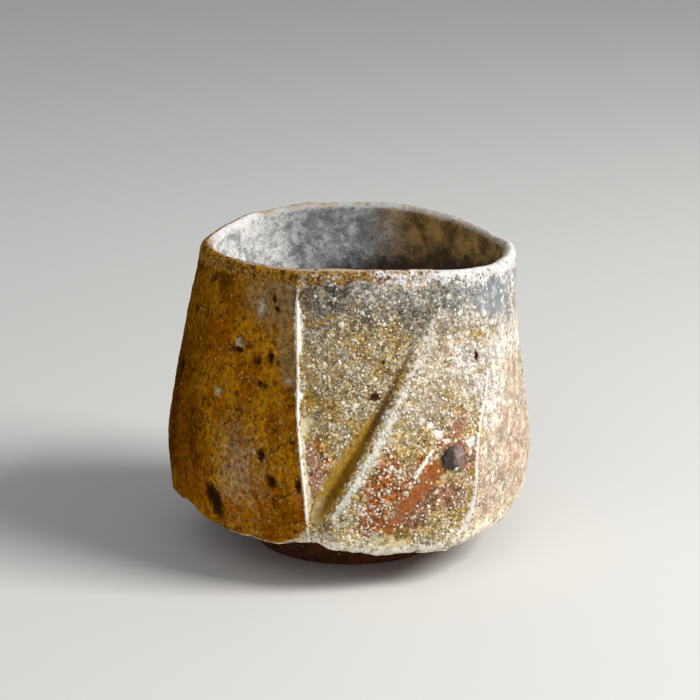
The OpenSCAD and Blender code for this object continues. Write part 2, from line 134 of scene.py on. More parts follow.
class CupCuts(PropertyGroup):
    """The cut facets, the two ridges and the diagonal groove."""
    left: angle("Left corner", "Corner at the left", -88)
    ridge_top: angle("Long ridge at the lip", "Long front ridge at the lip", -19)
    ridge_low: angle("Long ridge below", "Long front ridge at the lower edge", -12.4)
    thin_top: angle("Thin ridge at the lip", "Thin right ridge, run on up to the lip", 60.3)
    thin_low: angle("Thin ridge below", "Thin right ridge at the lower edge", 35.5)
    right: angle("Right corner", "Corner at the right", 97)
    back_right: angle("Back right corner", "Corner at the back, right of the middle", 158)
    back_left: angle("Back left corner", "Corner at the back, left of the middle", 204)
    round_low: FloatProperty(name="Facet round below", description="Roundness of the facets on the body",
                             default=0.62)
    round_top: FloatProperty(name="Facet round at the lip", description="Roundness of the facets at the lip",
                             default=0.88)
    ridge_height: length("Long ridge height", "Height of the long ridge over its facets", 0.75 * MM)
    thin_height: length("Thin ridge height", "Height of the thin ridge over its facets", 0.45 * MM)
    ridge_width: length("Ridge width", "Half width of both ridges", 1.3 * MM)
    corner_wear: length("Corner wear", "How far the corners at the sides and back are worn", 0.4 * MM)
    corner_width: length("Corner width", "Half width of the worn corners", 6 * MM)
    groove_top: angle("Groove at the lip", "Diagonal groove, run on up to the lip", 34.8)
    groove_low: angle("Groove below", "Diagonal groove, run on down to the lower edge", -18)
    groove_clear: angle("Groove clearance", "Least angle between the groove and the long ridge", 2.2)
    groove_flank: angle("Groove flank", "Angle from the bottom of the groove to its crest", 5.5)
    groove_depth: length("Groove depth", "Depth of the groove where it is full", 1.25 * MM)
    groove_width: length("Groove width", "Width of the cut on the left of the groove", 6.5 * MM)
    crest_height: length("Crest height", "Height of the crest over its facet", 0.55 * MM)
    crest_width: length("Crest width", "Width over which the crest falls to its facet", 7 * MM)
    groove_start: length("Groove start", "Height at which the groove starts", 48 * MM)
    groove_full: length("Groove full", "Height below which the groove is full", 24 * MM)
    groove_lift: length("Groove lift", "How far the lower edge lifts at the long ridge", 1.6 * MM)
    groove_lift_turn: angle("Groove lift turn", "Angle on each side over which the edge lifts", 20)
    stone_height: length("Stone height", "Height of the dark stone", 21.5 * MM)
    stone_place: FloatProperty(name="Stone place", default=0.82,
                               description="Place of the stone from the crest to the thin ridge")


class CupColours(PropertyGroup):
    """Colours of the glazes, grains and clay."""
    ochre: colour("Ochre glaze", "Ash glaze where it is plain", (0.30, 0.185, 0.050))
    beige: colour("Beige glaze", "Ash glaze where it is thick", (0.40, 0.32, 0.19))
    honey: colour("Honey glaze", "Smooth glaze that ran", (0.40, 0.225, 0.030))
    wheat: colour("Wheat glaze", "Yellow glaze between the grains of the front below", (0.50, 0.345, 0.110))
    amber: colour("Amber glaze", "Thin glaze on the left facet", (0.30, 0.098, 0.0015))
    gold: colour("Gold glaze", "Yellower patches of the left facet", (0.46, 0.190, 0.004))
    tan: colour("Tan glaze", "Pale specks of the left facet", (0.46, 0.28, 0.050))
    straw: colour("Straw", "Palest grains of the left facet", (0.50, 0.32, 0.075))
    flame: colour("Flame", "Orange glow of the left facet", (0.40, 0.110, 0.002))
    # Umber also paints shade over the left side of the amber facet and on the upper flank of the groove
    umber: colour("Umber glaze", "Dark patches of the left facet", (0.085, 0.026, 0.001))
    cream: colour("Cream glaze", "Pale glaze on the right", (0.51, 0.415, 0.315))
    blush: colour("Blush", "Pink flashes of the pale glaze", (0.50, 0.325, 0.230))
    ash_grey: colour("Grey ash", "Ash under the lip", (0.165, 0.150, 0.126))
    soot: colour("Soot", "Dark streaks under the lip", (0.055, 0.050, 0.044))
    ash_blue: colour("Blue ash", "Ash under the lip on the right", (0.215, 0.238, 0.268))
    slate: colour("Slate", "Darkest ash under the lip on the right", (0.085, 0.093, 0.105))
    rust: colour("Rust", "Bare red clay under thin glaze", (0.34, 0.097, 0.022))
    scorch: colour("Scorch", "Burnt brown below the stone", (0.21, 0.098, 0.048))
    mauve: colour("Mauve", "Scorched clay beside the stone and the long ridge", (0.36, 0.190, 0.120))
    smoke: colour("Smoke", "Grey-brown glaze at the upper left", (0.30, 0.205, 0.090))
    frost: colour("Frost", "White ash on the right below the lip", (0.46, 0.455, 0.45))
    lip_rust: colour("Rusty lip", "Lip at the front left", (0.31, 0.160, 0.036))
    white: colour("White ash", "Lip and ridges where ash lies thick", (0.88, 0.84, 0.76))
    snow: colour("Snow", "Cold white ash of the lip on the right", (0.70, 0.68, 0.675))
    ash_pale: colour("Pale ash", "Paler ash under the lip", (0.37, 0.35, 0.315))
    butter: colour("Butter", "Pale yellow glaze along the long ridge", (0.70, 0.61, 0.36))
    crumb: colour("Crumbly lip", "Tan lip right of the middle", (0.50, 0.36, 0.22))
    # Pale foot also paints the highlight on the lit right side of the long ridge
    foot_pale: colour("Pale foot", "Pale ash along the lower edge", (0.76, 0.65, 0.43))
    crest: colour("Crest", "Ash that lies on the crest of the groove", (0.775, 0.74, 0.675))
    # Pooled glaze of the groove's flank, painted darker still as the flank's shade
    pool: colour("Pooled glaze", "Glaze that ran together", (0.170, 0.074, 0.0020))
    pool_pale: colour("Pale pooled glaze", "Milky parts of the pooled glaze", (0.60, 0.43, 0.20))
    feldspar: colour("Feldspar", "White grains", (0.93, 0.86, 0.71))
    inner_white: colour("Inner white", "Pale glaze inside", (0.84, 0.83, 0.81))
    inner_grey: colour("Inner grey", "Mottling inside", (0.20, 0.202, 0.205))
    inner_blue: colour("Inner blue", "Dark blue-grey blots inside", (0.095, 0.102, 0.118))
    # Inner brown also stands partly for painted shade on the right of the inside
    inner_brown_and_shade: colour("Inner brown", "Scorched glaze inside on the right", (0.155, 0.080, 0.020))
    inner_mist: colour("Inner mist", "Paler mottling inside", (0.45, 0.455, 0.465))
    inner_ochre: colour("Inner ochre", "Ochre patches inside on the right", (0.50, 0.29, 0.085))
    # Inner dark is also painted as shade deep inside the cup
    inner_dark_and_shade: colour("Inner dark", "Darkest glaze inside", (0.035, 0.022, 0.012))
    lip_tan: colour("Tan lip", "Lip where it is bare at the back", (0.40, 0.33, 0.25))
    crust: colour("Crust", "Pale ash of the crust", (0.94, 0.86, 0.71))
    crust_yellow: colour("Yellow crust", "Yellow glaze of the crust", (0.68, 0.52, 0.23))
    clay: colour("Bare clay", "Underside and foot", (0.14, 0.036, 0.016))
    pebble: colour("Pebble", "Pebbles under the glaze", (0.52, 0.42, 0.28))
    # The stone's dark side and its grey-mauve side are partly painted shade and painted light
    burnt_and_shaded: colour("Burnt stone", "Dark side of the dark stone", (0.055, 0.038, 0.032))
    stone: colour("Stone bloom", "Grey-mauve bloom of the dark stone", (0.32, 0.245, 0.225))
    # This near-black is also painted as the stone's shadow beside it
    char: colour("Char", "Pits and the dark stone", (0.022, 0.012, 0.006))


class CupGrains(PropertyGroup):
    """The feldspar grains that stand out of the glaze."""
    seed: IntProperty(name="Seed", description="Seed of the scatter", default=7)
    spacing: length("Spacing", "Least distance between fine grains", 0.46 * MM)
    fine: length("Fine grain", "Radius of the largest fine grains", 0.36 * MM)
    coarse: length("Coarse grain", "Radius of the largest coarse grains", 0.43 * MM)
    rise: FloatProperty(name="Rise", description="Height of a grain as a share of its radius", default=0.27)
    unevenness: length("Unevenness", "How far the outline of a grain is drawn about", 0.36 * MM)


def lerp(a, b, t):
    return a + (b - a) * t


def ease(t):
    t = np.clip(t, 0.0, 1.0)
    return t * t * (3 - 2 * t)


def ramp(low, high, x):
    """From 0 at low to 1 at high, with soft ends."""
    return ease((x - low) / (high - low))


def window(x, start, full, fall, end):
    """From 0 at the start to 1 from full on, and from the fall down to 0 at the end, with soft ends."""
    return ramp(start, full, x) * ramp(end, fall, x)


def most(*masks):
    """The strongest of some masks at each place."""
    return np.maximum.reduce(masks)


def peak(x):
    """From 1 at 0 down to 0 at 1 on both sides, with a sharp top."""
    return (1 - np.minimum(1, np.abs(x))) ** 2


def bell(x):
    """From 1 at 0 down towards 0 on both sides, with a round top."""
    return np.exp(-np.square(x))


def around(radius, turn, z):
    """Points at a radius and a turn from the front."""
    return np.stack([radius * np.sin(turn), -radius * np.cos(turn), z + 0 * turn], -1)


def rough(points, size, octaves=3, seed=0):
    """Fractal noise at points, about -1 to 1, with features of the given size."""
    shift = Vector((13.7, 7.3, 3.1)) * seed
    values = [noise.fractal(Vector(p) / size + shift, 1.0, 2.0, octaves) for p in points.reshape(-1, 3)]
    return np.array(values).reshape(points.shape[:-1])


def wave(turn, parts):
    """A sum of waves round the cup: each part is a height, a count and a phase."""
    return sum(high * np.sin(count * turn + phase) for high, count, phase in parts)


# Waves of the hand in the lip and in the torn lower edge
LIP_WAVES = ((0.10 * MM, 5, 0.7), (0.06 * MM, 11, 2.1), (0.04 * MM, 23, 4.0))
EDGE_WAVES = ((0.14 * MM, 9, 0.4), (0.14 * MM, 21, 1.3), (0.06 * MM, 47, 5.0))
# Where the long ridge bends aside on its way up: share of the wall's height, half of its length, turn
RIDGE_BENDS = ((0.24, 0.10, math.radians(0.65)), (0.50, 0.10, math.radians(-0.35)),
               (0.80, 0.04, math.radians(-0.12)))
# Where the thin ridge bends aside, in the same order
THIN_BENDS = ((0.11, 0.08, math.radians(0.8)), (0.358, 0.135, math.radians(-2.4)))
# Where the lower edge is chipped or hangs down: turn in degrees, half width in degrees, rise
EDGE_NICKS = ((32.5, 1.5, -0.45 * MM), (-18.0, 5.0, 0.3 * MM), (-30.0, 6.0, -0.3 * MM),
              (21.0, 2.2, 0.15 * MM), (-71.0, 11.0, 1.1 * MM))


class Wall:
    """Where the surface of the cut wall lies, by the turn round the cup and the height."""
    # Shares of the wall's height over which the relief fades out below, and the long and the thin ridge above
    LOW_FADE, LIP_FADE, THIN_FADE = 0.06, 0.1, (0.65, 0.5)
    # How gently the swelling wall settles into the belly, and how hollow the groove is on its left
    SETTLE, HOLLOW = 1.4, 1.5

    def __init__(self, form, cuts):
        self.form, self.cuts = form, cuts

    def lines(self, share):
        """Turns of the lines at shares of the wall's height, one row for each line."""
        cuts = self.cuts

        def stray(bends):
            return sum(far * bell((share - middle) / half) for middle, half, far in bends)

        ridge = lerp(cuts.ridge_low, cuts.ridge_top, share) + stray(RIDGE_BENDS)
        valley = np.maximum(lerp(cuts.groove_low, cuts.groove_top, share), ridge + cuts.groove_clear)
        thin = lerp(cuts.thin_low, cuts.thin_top, share) + stray(THIN_BENDS)
        fixed = [turn + 0 * share for turn in (cuts.left, cuts.right, cuts.back_right, cuts.back_left)]
        return np.stack([fixed[0], ridge, valley, valley + cuts.groove_flank, thin, *fixed[1:],
                         fixed[0] + FULL_TURN])

    def share(self, z):
        form = self.form
        return np.clip((z - form.edge_height) / (form.height - form.edge_height), 0, 1)

    def from_left(self, turn):
        """The same turns, counted on from the left corner."""
        return (turn - self.cuts.left) % FULL_TURN + self.cuts.left

    def even_lip_z(self, turn):
        form = self.form
        return form.height - form.lip_dip * np.sin(turn) ** 2 - form.lip_tilt * np.sin(turn)

    def lip_z(self, turn):
        return self.even_lip_z(turn) + wave(turn, LIP_WAVES)

    def edge_z(self, turn):
        form, cuts = self.form, self.cuts
        front = self.from_left(turn)
        z = form.edge_height - form.edge_dip * np.cos(turn - form.edge_dip_turn) + wave(turn, EDGE_WAVES)
        z -= (form.edge_sag * ramp(form.sag_from, form.sag_from + form.sag_ease, front)
              * ramp(form.sag_to, form.sag_to - form.sag_ease, front))
        z += cuts.groove_lift * peak((front - cuts.ridge_low) / cuts.groove_lift_turn)
        for nick, half, rise in EDGE_NICKS:
            z += rise * bell(np.degrees(front) / half - nick / half)
        return z

    def roll_round(self, turn):
        return self.form.edge_round + self.form.edge_round_side * np.sin(turn)

    def corner_radius(self, turn, z):
        """Radius over the corners: a swelling wall above the belly, and a slight draw-in below it."""
        form = self.form
        top = self.even_lip_z(turn)
        drop = np.clip((top - z) / (top - form.belly_height), 0, 1)
        swell = 1 - (1 - drop ** (form.flare + form.flare_side * np.sin(turn))) ** self.SETTLE
        above = lerp(form.lip_radius + form.lip_shift * np.sin(turn), form.belly_radius, swell)
        below = lerp(form.belly_radius, form.edge_radius, ramp(form.belly_height, form.edge_height, z))
        return np.where(z > form.belly_height, above, below)

    def facet_radius(self, turn, z):
        """Between the straight cut from corner to corner and the round of the thrown form."""
        turn = self.from_left(turn)
        share = self.share(z)
        corners = self.lines(share)[CORNERS]
        facet = np.sum(turn >= corners[1:-1], axis=0)
        start = np.take_along_axis(corners, facet[None], 0)[0]
        end = np.take_along_axis(corners, facet[None] + 1, 0)[0]
        first, last = self.corner_radius(start, z), self.corner_radius(end, z)
        cut = first * last * np.sin(end - start) / (first * np.sin(turn - start) + last * np.sin(end - turn))
        thrown = lerp(first, last, (turn - start) / (end - start))
        return lerp(cut, thrown, lerp(self.cuts.round_low, self.cuts.round_top, share * share))

    def groove(self, across, flank):
        """A broad cut on the left, and a steep flank up to the crest on the right."""
        cuts = self.cuts
        hollow = -cuts.groove_depth * np.clip(1 + across / cuts.groove_width, 0, 1) ** self.HOLLOW
        flanks = lerp(-cuts.groove_depth, cuts.crest_height, ease(across / flank))
        beyond = cuts.crest_height * peak((across - flank) / cuts.crest_width)
        return np.where(across < 0, hollow, np.where(across < flank, flanks, beyond))

    def relief(self, turn, radius, z):
        """Ridges, groove and worn corners, measured from the facets."""
        cuts = self.cuts
        turn = self.from_left(turn)
        share = self.share(z)
        lines = self.lines(share)
        low, high = ease(share / self.LOW_FADE), ease((1 - share) / self.LIP_FADE)
        worn = np.max([peak(radius * (turn - lines[k]) / cuts.corner_width) for k in WORN_CORNERS], axis=0)
        ridge = cuts.ridge_height * low * high * peak(radius * (turn - lines[RIDGE]) / cuts.ridge_width)
        thin = cuts.thin_height * low * ramp(*self.THIN_FADE, share)
        thin = thin * peak(radius * (turn - lines[THIN]) / cuts.ridge_width)
        groove = self.groove(radius * (turn - lines[VALLEY]), radius * cuts.groove_flank)
        groove = groove * low * ramp(cuts.groove_start, cuts.groove_full, z)
        return ridge + thin + groove - cuts.corner_wear * (1 - share * share) * worn

    def side_radius(self, turn, z):
        radius = self.facet_radius(turn, z)
        return radius + self.relief(turn, radius, z)

    def inside_radius(self, turn, z):
        form = self.form
        thick = lerp(2 * form.lip_round, form.wall, ramp(form.height, form.bowl_height, z))
        return self.facet_radius(turn, z) - thick

    def column_turn(self, columns, share):
        """Turns of the columns at shares of the wall's height."""
        lines = self.lines(share + np.zeros(len(columns.line)))
        at = np.arange(len(columns.line))
        return lerp(lines[columns.line, at], lines[columns.line + 1, at], columns.share)

    def row(self, columns, section, value, lift=0.0):
        """One row of points, lifted out of the glaze: its section, and the angle or the share of the way."""
        form = self.form
        if section == LIP:
            turn = self.column_turn(columns, 1)
            z = self.lip_z(turn) - form.lip_round
            radius = self.facet_radius(turn, z) - form.lip_round
            out = form.lip_round + lift
            return around(radius + out * math.cos(value), turn, z + out * math.sin(value))
        if section == SIDE:
            near = self.column_turn(columns, 1 - value)
            z = lerp(self.lip_z(near) - form.lip_round, self.edge_z(near) + self.roll_round(near), value)
            turn = self.column_turn(columns, self.share(z))
            return around(self.side_radius(turn, z) + lift, turn, z)
        if section in (ROLL, UNDER):
            turn = self.column_turn(columns, 0)
            bend = self.roll_round(turn)
            z = self.edge_z(turn) + bend
            radius = self.side_radius(turn, z) - bend
            if section == ROLL:
                out = bend + lift
                return around(radius + out * math.cos(value), turn, z + out * math.sin(value))
            return around(lerp(radius, form.base_radius, value), turn,
                          lerp(self.edge_z(turn) - lift, form.shoulder_height - lift, value))
        if section == INSIDE:
            near = self.column_turn(columns, 1)
            z = lerp(self.lip_z(near) - form.lip_round, form.bowl_height, value)
            turn = self.column_turn(columns, self.share(z))
            return around(self.inside_radius(turn, z) - lift, turn, z)
        turn = self.column_turn(columns, self.share(form.bowl_height))
        if section == FLOOR:
            return around(form.floor_radius * value, turn, form.floor_height + lift)
        reach = self.inside_radius(turn, form.bowl_height + 0 * turn) - form.floor_radius - lift
        deep = form.bowl_height - form.floor_height - lift
        return around(form.floor_radius + reach * math.cos(value), turn,
                      form.bowl_height - deep * math.sin(value))


def wall_columns(detail):
    """Columns all round the wall, crowded towards its lines."""
    line, share = [], []
    for start, count in STRIP_COLUMNS.items():
        count = max(2, round(count * detail))
        even = np.arange(count) / count
        line.append(np.full(count, start))
        share.append(lerp(even, (1 - np.cos(np.pi * even)) / 2, CROWDING))
    return Columns(np.concatenate(line), np.concatenate(share))


def span(section, first, last, count):
    """Rows of one section."""
    return [(section, value) for value in np.linspace(first, last, count)]


def quarter(turns):
    return turns * math.pi / 2


# Dark pits and scars: turn in degrees, then height, half width, half height and depth in millimetres
PITS = (
    (-27.6, 38.9, 0.40, 0.80, 0.35), (-32.5, 37.7, 0.35, 0.40, 0.25), (-31.2, 34.4, 0.45, 0.35, 0.20),
    (-29.0, 22.8, 0.60, 0.85, 0.35), (-24.8, 18.7, 0.65, 0.85, 0.35), (-52.8, 13.4, 1.20, 1.50, 0.25),
    (-15.4, 18.9, 0.40, 0.90, 0.25), (-80.0, 31.8, 0.90, 1.50, 0.25), (-42.0, 39.0, 0.80, 0.40, 0.15),
    (8.4, 33.0, 0.75, 0.50, 0.25), (46.4, 37.8, 0.35, 0.60, 0.25), (11.3, 38.7, 0.25, 0.25, 0.15),
    (-0.7, 36.1, 0.25, 0.25, 0.15), (120.0, 24.0, 0.70, 0.90, 0.35), (166.0, 36.0, 0.60, 0.50, 0.30),
    (-140.0, 20.0, 0.80, 1.20, 0.35), (-49.8, 12.0, 1.20, 2.00, 0.25),
    (-27.4, 48.3, 0.30, 0.50, 0.20), (-26.2, 46.8, 0.35, 0.35, 0.15),
)
# Pebbles under the glaze, in the same order, with how far they stand out
PEBBLES = (
    (-42.0, 40.1, 0.95, 0.75, 0.35), (-51.0, 31.1, 0.70, 0.75, 0.25), (-32.9, 46.5, 0.80, 1.40, 0.18),
    (-20.4, 35.6, 0.70, 0.45, 0.25), (-31.9, 23.2, 0.30, 0.65, 0.15), (-118.0, 33.0, 0.60, 0.55, 0.25),
    (142.0, 27.0, 0.70, 0.60, 0.25), (176.0, 17.0, 0.50, 0.60, 0.20), (-9.8, 49.6, 0.55, 0.95, 0.12),
)
# Spots of each zone: strength, turn in degrees, then height and half sizes in millimetres, and any lean
SPOTS = {
    "smoke": ((1, -27, 48.5, 5.5, 4.5), (0.7, -150, 44, 16, 7)),
    "dusty": ((0.75, -39, 19, 5, 7),),
    "dusk": ((1, -54, 50, 2.0, 2.3), (0.8, -46.5, 10.8, 1.5, 2.0), (0.8, -110, 30, 6, 9)),
    # Painted shade on the left facet near the lip
    "left_shade": ((0.3, -52, 49, 4, 5),),
    "orange": ((1, -52.5, 40.0, 2.8, 3.6), (1, -62, 15, 3, 5), (0.8, -40, 11.5, 4, 1.6)),
    "hoar": ((0.9, 52, 32, 4, 6),),
    "slate": ((1, 57, 46.6, 4.6, 3.2),),
    "blush": ((1, 66, 20.5, 3.5, 4.5), (1, 73, 13.5, 3, 3), (1, 47, 12, 2.2, 3), (0.5, 35, 39, 4, 2, 45),
              (0.8, 100, 26, 6, 5)),
    "rust": ((0.9, -15.6, 17.0, 0.8, 1.8), (0.5, 150, 20, 7, 6), (0.66, -7.6, 21.0, 0.9, 1.6)),
    "scorch": ((1, 31, 16.2, 3.2, 2.6), (0.6, 150, 14, 7, 3)),
    "mauve": ((1, 37.0, 22.2, 2.2, 2.4),),
    # Painted shadow of the stone, on its left
    "stone_shadow": ((1, 32.6, 22.0, 1.5, 2.1),),
    "butter": ((1, -14.0, 29.0, 0.9, 1.7),),
    "melted": ((1, 28.9, 26.4, 0.85, 0.65), (1, 31.6, 25.0, 0.45, 0.4), (1, 26.4, 27.8, 0.45, 0.45),
               (0.85, 39.6, 24.2, 0.8, 1.0, 30)),
    "stained_grains": ((0.4, -31, 27, 8, 12),),
}
# Streaks of each zone: strength, the turn and height of both ends, and half width
STREAKS = {
    "smoke": ((0.8, (-23.5, 45.5), (-19.5, 36.5), 1.9),),
    "dusk": ((1, (-84, 36), (-80, 16), 1.6), (0.8, (-66, 26), (-62, 18), 1.2)),
    "orange": ((1, (-76, 30), (-72, 12), 2.5), (0.8, (-150, 34), (-165, 18), 5),
               (1, (140, 30), (120, 12), 4)),
    "hoar": ((0.85, (60, 50), (52, 43), 0.5), (0.85, (67, 49), (60, 40), 0.6)),
    "bare": ((1, (12, 11.2), (17.1, 14.8), 0.9), (1, (17.1, 14.8), (27.6, 20.7), 1.15),
             (0.52, (27.6, 20.7), (36.0, 26.6), 1.2)),
    "rust": ((1, (6, 12.5), (12, 21.5), 2.3), (1, (13, 17), (25, 21.5), 1.9),
             (0.7, (26, 23), (33, 26.5), 1.3), (0.68, (-10.4, 26.2), (-6.2, 21.8), 0.7)),
    "scorch": ((1, (19.5, 12.6), (26, 16.2), 1.9),),
    "mauve": ((0.72, (32, 24.2), (38, 28.4), 1.2), (1.25, (-12.2, 25.4), (-11.6, 16.8), 0.55),
              (1.25, (-11, 23.5), (-9.4, 18.4), 0.85)),
    "honey": ((0.8, (-13, 44.8), (-6.6, 46.4), 0.45),),
    "butter": ((0.8, (8, 9.3), (17, 8.4), 0.9),),
    "melted": ((1, (20.2, 19.9), (26.3, 23.8), 0.32),),
    "rust_grains": ((0.35, (5, 12), (13, 21), 2.4),),
}
# Zones that are nothing but their spots and streaks
PLACED_ZONES = ("smoke", "dusty", "dusk", "orange", "slate", "bare", "scorch", "mauve", "stone_shadow", "butter")
# Lower border of the grey ash: turns in degrees, then heights, and its waves
GREY_FOOT = (-30, -17, 0, 14, 21, 40, 60, 80, 180), (50, 47.8, 47.3, 46.3, 45.5, 44.6, 44, 42.5, 43)
GREY_WAVES = ((0.9, 9, 0.5), (0.7, 23, 2.0), (0.5, 41, 0.3))
# Height of the band along the lip, its waves, and how much lower it is right of the middle
LIP_BAND, LIP_BAND_WAVES, LIP_BAND_DIP = 2.35, ((0.22, 17, 1.0), (0.16, 43, 3.0), (0.10, 97, 0.5)), 0.9
# Half widths of the lines of ash and of the groove's glaze: heights, then half widths
RIDGE_HALVES = ((8, 14, 20, 28, 32.5, 33.6, 34.8, 39.5, 41.5, 44, 47, 49, 51),
                (0.26, 0.32, 0.38, 0.30, 0.32, 0.62, 0.30, 0.32, 0.58, 0.70, 0.60, 0.36, 0.24))
CREST_HALVES = (8, 14, 22, 32, 40, 47), (0.30, 0.55, 1.10, 1.80, 1.50, 0.7)
THIN_HALVES = (8, 11, 14, 17, 21, 27, 38), (0.90, 1.00, 0.68, 0.38, 0.36, 0.34, 0.24)
FLANK_HALVES = (8, 20, 30, 45), (1.1, 1.2, 0.65, 0.35)
HOLLOW_HALVES = (8, 20, 30, 45), (2.2, 1.6, 0.9, 0.4)
# How unevenly the ash lies along the long ridge and along the crest
RIDGE_WAVES = ((0.16, 2.3, 0), (0.10, 5.1, 1))
CREST_WAVES = ((0.22, 1.7, 0), (0.16, 3.9, 1))
# Share of the grains that is left in some zones
GRAINS_LEFT = {"flank_glaze_and_shade": 0.0, "hollow": 0.1, "pit": 0.0, "rusty_lip": 0.25, "crest": 0.7, "pale_line": 0.3,
               "honey": 0.35, "butter": 0.15, "mauve": 0.35, "scorch": 0.35, "slate": 0.15}


class Spots:
    """Places on the wall, by turns in degrees and heights in millimetres, and the masks laid out on them."""

    def __init__(self, points):
        self.turn = np.arctan2(points[..., 0], -points[..., 1])
        self.z = points[..., 2]
        self.radius = np.hypot(points[..., 0], points[..., 1])
        self.degrees = np.degrees(self.turn)
        self.height = self.z / MM

    def offset(self, degrees, height):
        """Distances along and up the wall from a place."""
        off = (self.turn - math.radians(degrees) + math.pi) % FULL_TURN - math.pi
        return off * self.radius / MM, self.height - height

    def spot(self, degrees, height, half_width, half_height, lean=0.0):
        """1 in the middle of an ellipse that leans to the right, a half at its border and 0 well outside."""
        x, y = self.offset(degrees, height)
        c, s = math.cos(math.radians(lean)), math.sin(math.radians(lean))
        return 0.5 ** (((x * c - y * s) / half_width) ** 2 + ((x * s + y * c) / half_height) ** 2)

    def streak(self, start, end, half):
        """1 on a straight streak between two places, a half at its border and 0 well outside."""
        x, y = self.offset(*start)
        across, up = math.radians(end[0] - start[0]) * self.radius / MM, end[1] - start[1]
        along = np.clip((x * across + y * up) / (across ** 2 + up ** 2), 0, 1)
        return 0.5 ** (np.hypot(x - along * across, y - along * up) / half) ** 2

    def laid(self, zone):
        """The strongest of a zone's spots and streaks at each place, at most 1."""
        masks = [strength * self.spot(*place) for strength, *place in SPOTS.get(zone, ())]
        masks += [strength * self.streak(*place) for strength, *place in STREAKS.get(zone, ())]
        return np.minimum(most(*masks), 1)

    def marks(self, table):
        """How much of a mark of a table there is, and how far it goes in or stands out."""
        shade, relief = np.zeros_like(self.turn), np.zeros_like(self.turn)
        for *place, far in table:
            mark = self.spot(*place)
            shade = np.maximum(shade, mark)
            relief = np.maximum(relief, mark * mark * far * MM)
        return shade, relief


def hand_waves(points, fine):
    """Broad and fine unevenness of a glaze, with the given height of the fine part."""
    return 0.20 * MM * rough(points, 9 * MM, 2, 1) + fine * rough(points, 1.5 * MM, 3, 2)


def glaze_lift(points):
    """How far the hand-made glaze rises over or dips under its even surface."""
    at = Spots(points)
    return hand_waves(points, 0.07 * MM) - at.marks(PITS)[1] + at.marks(PEBBLES)[1]


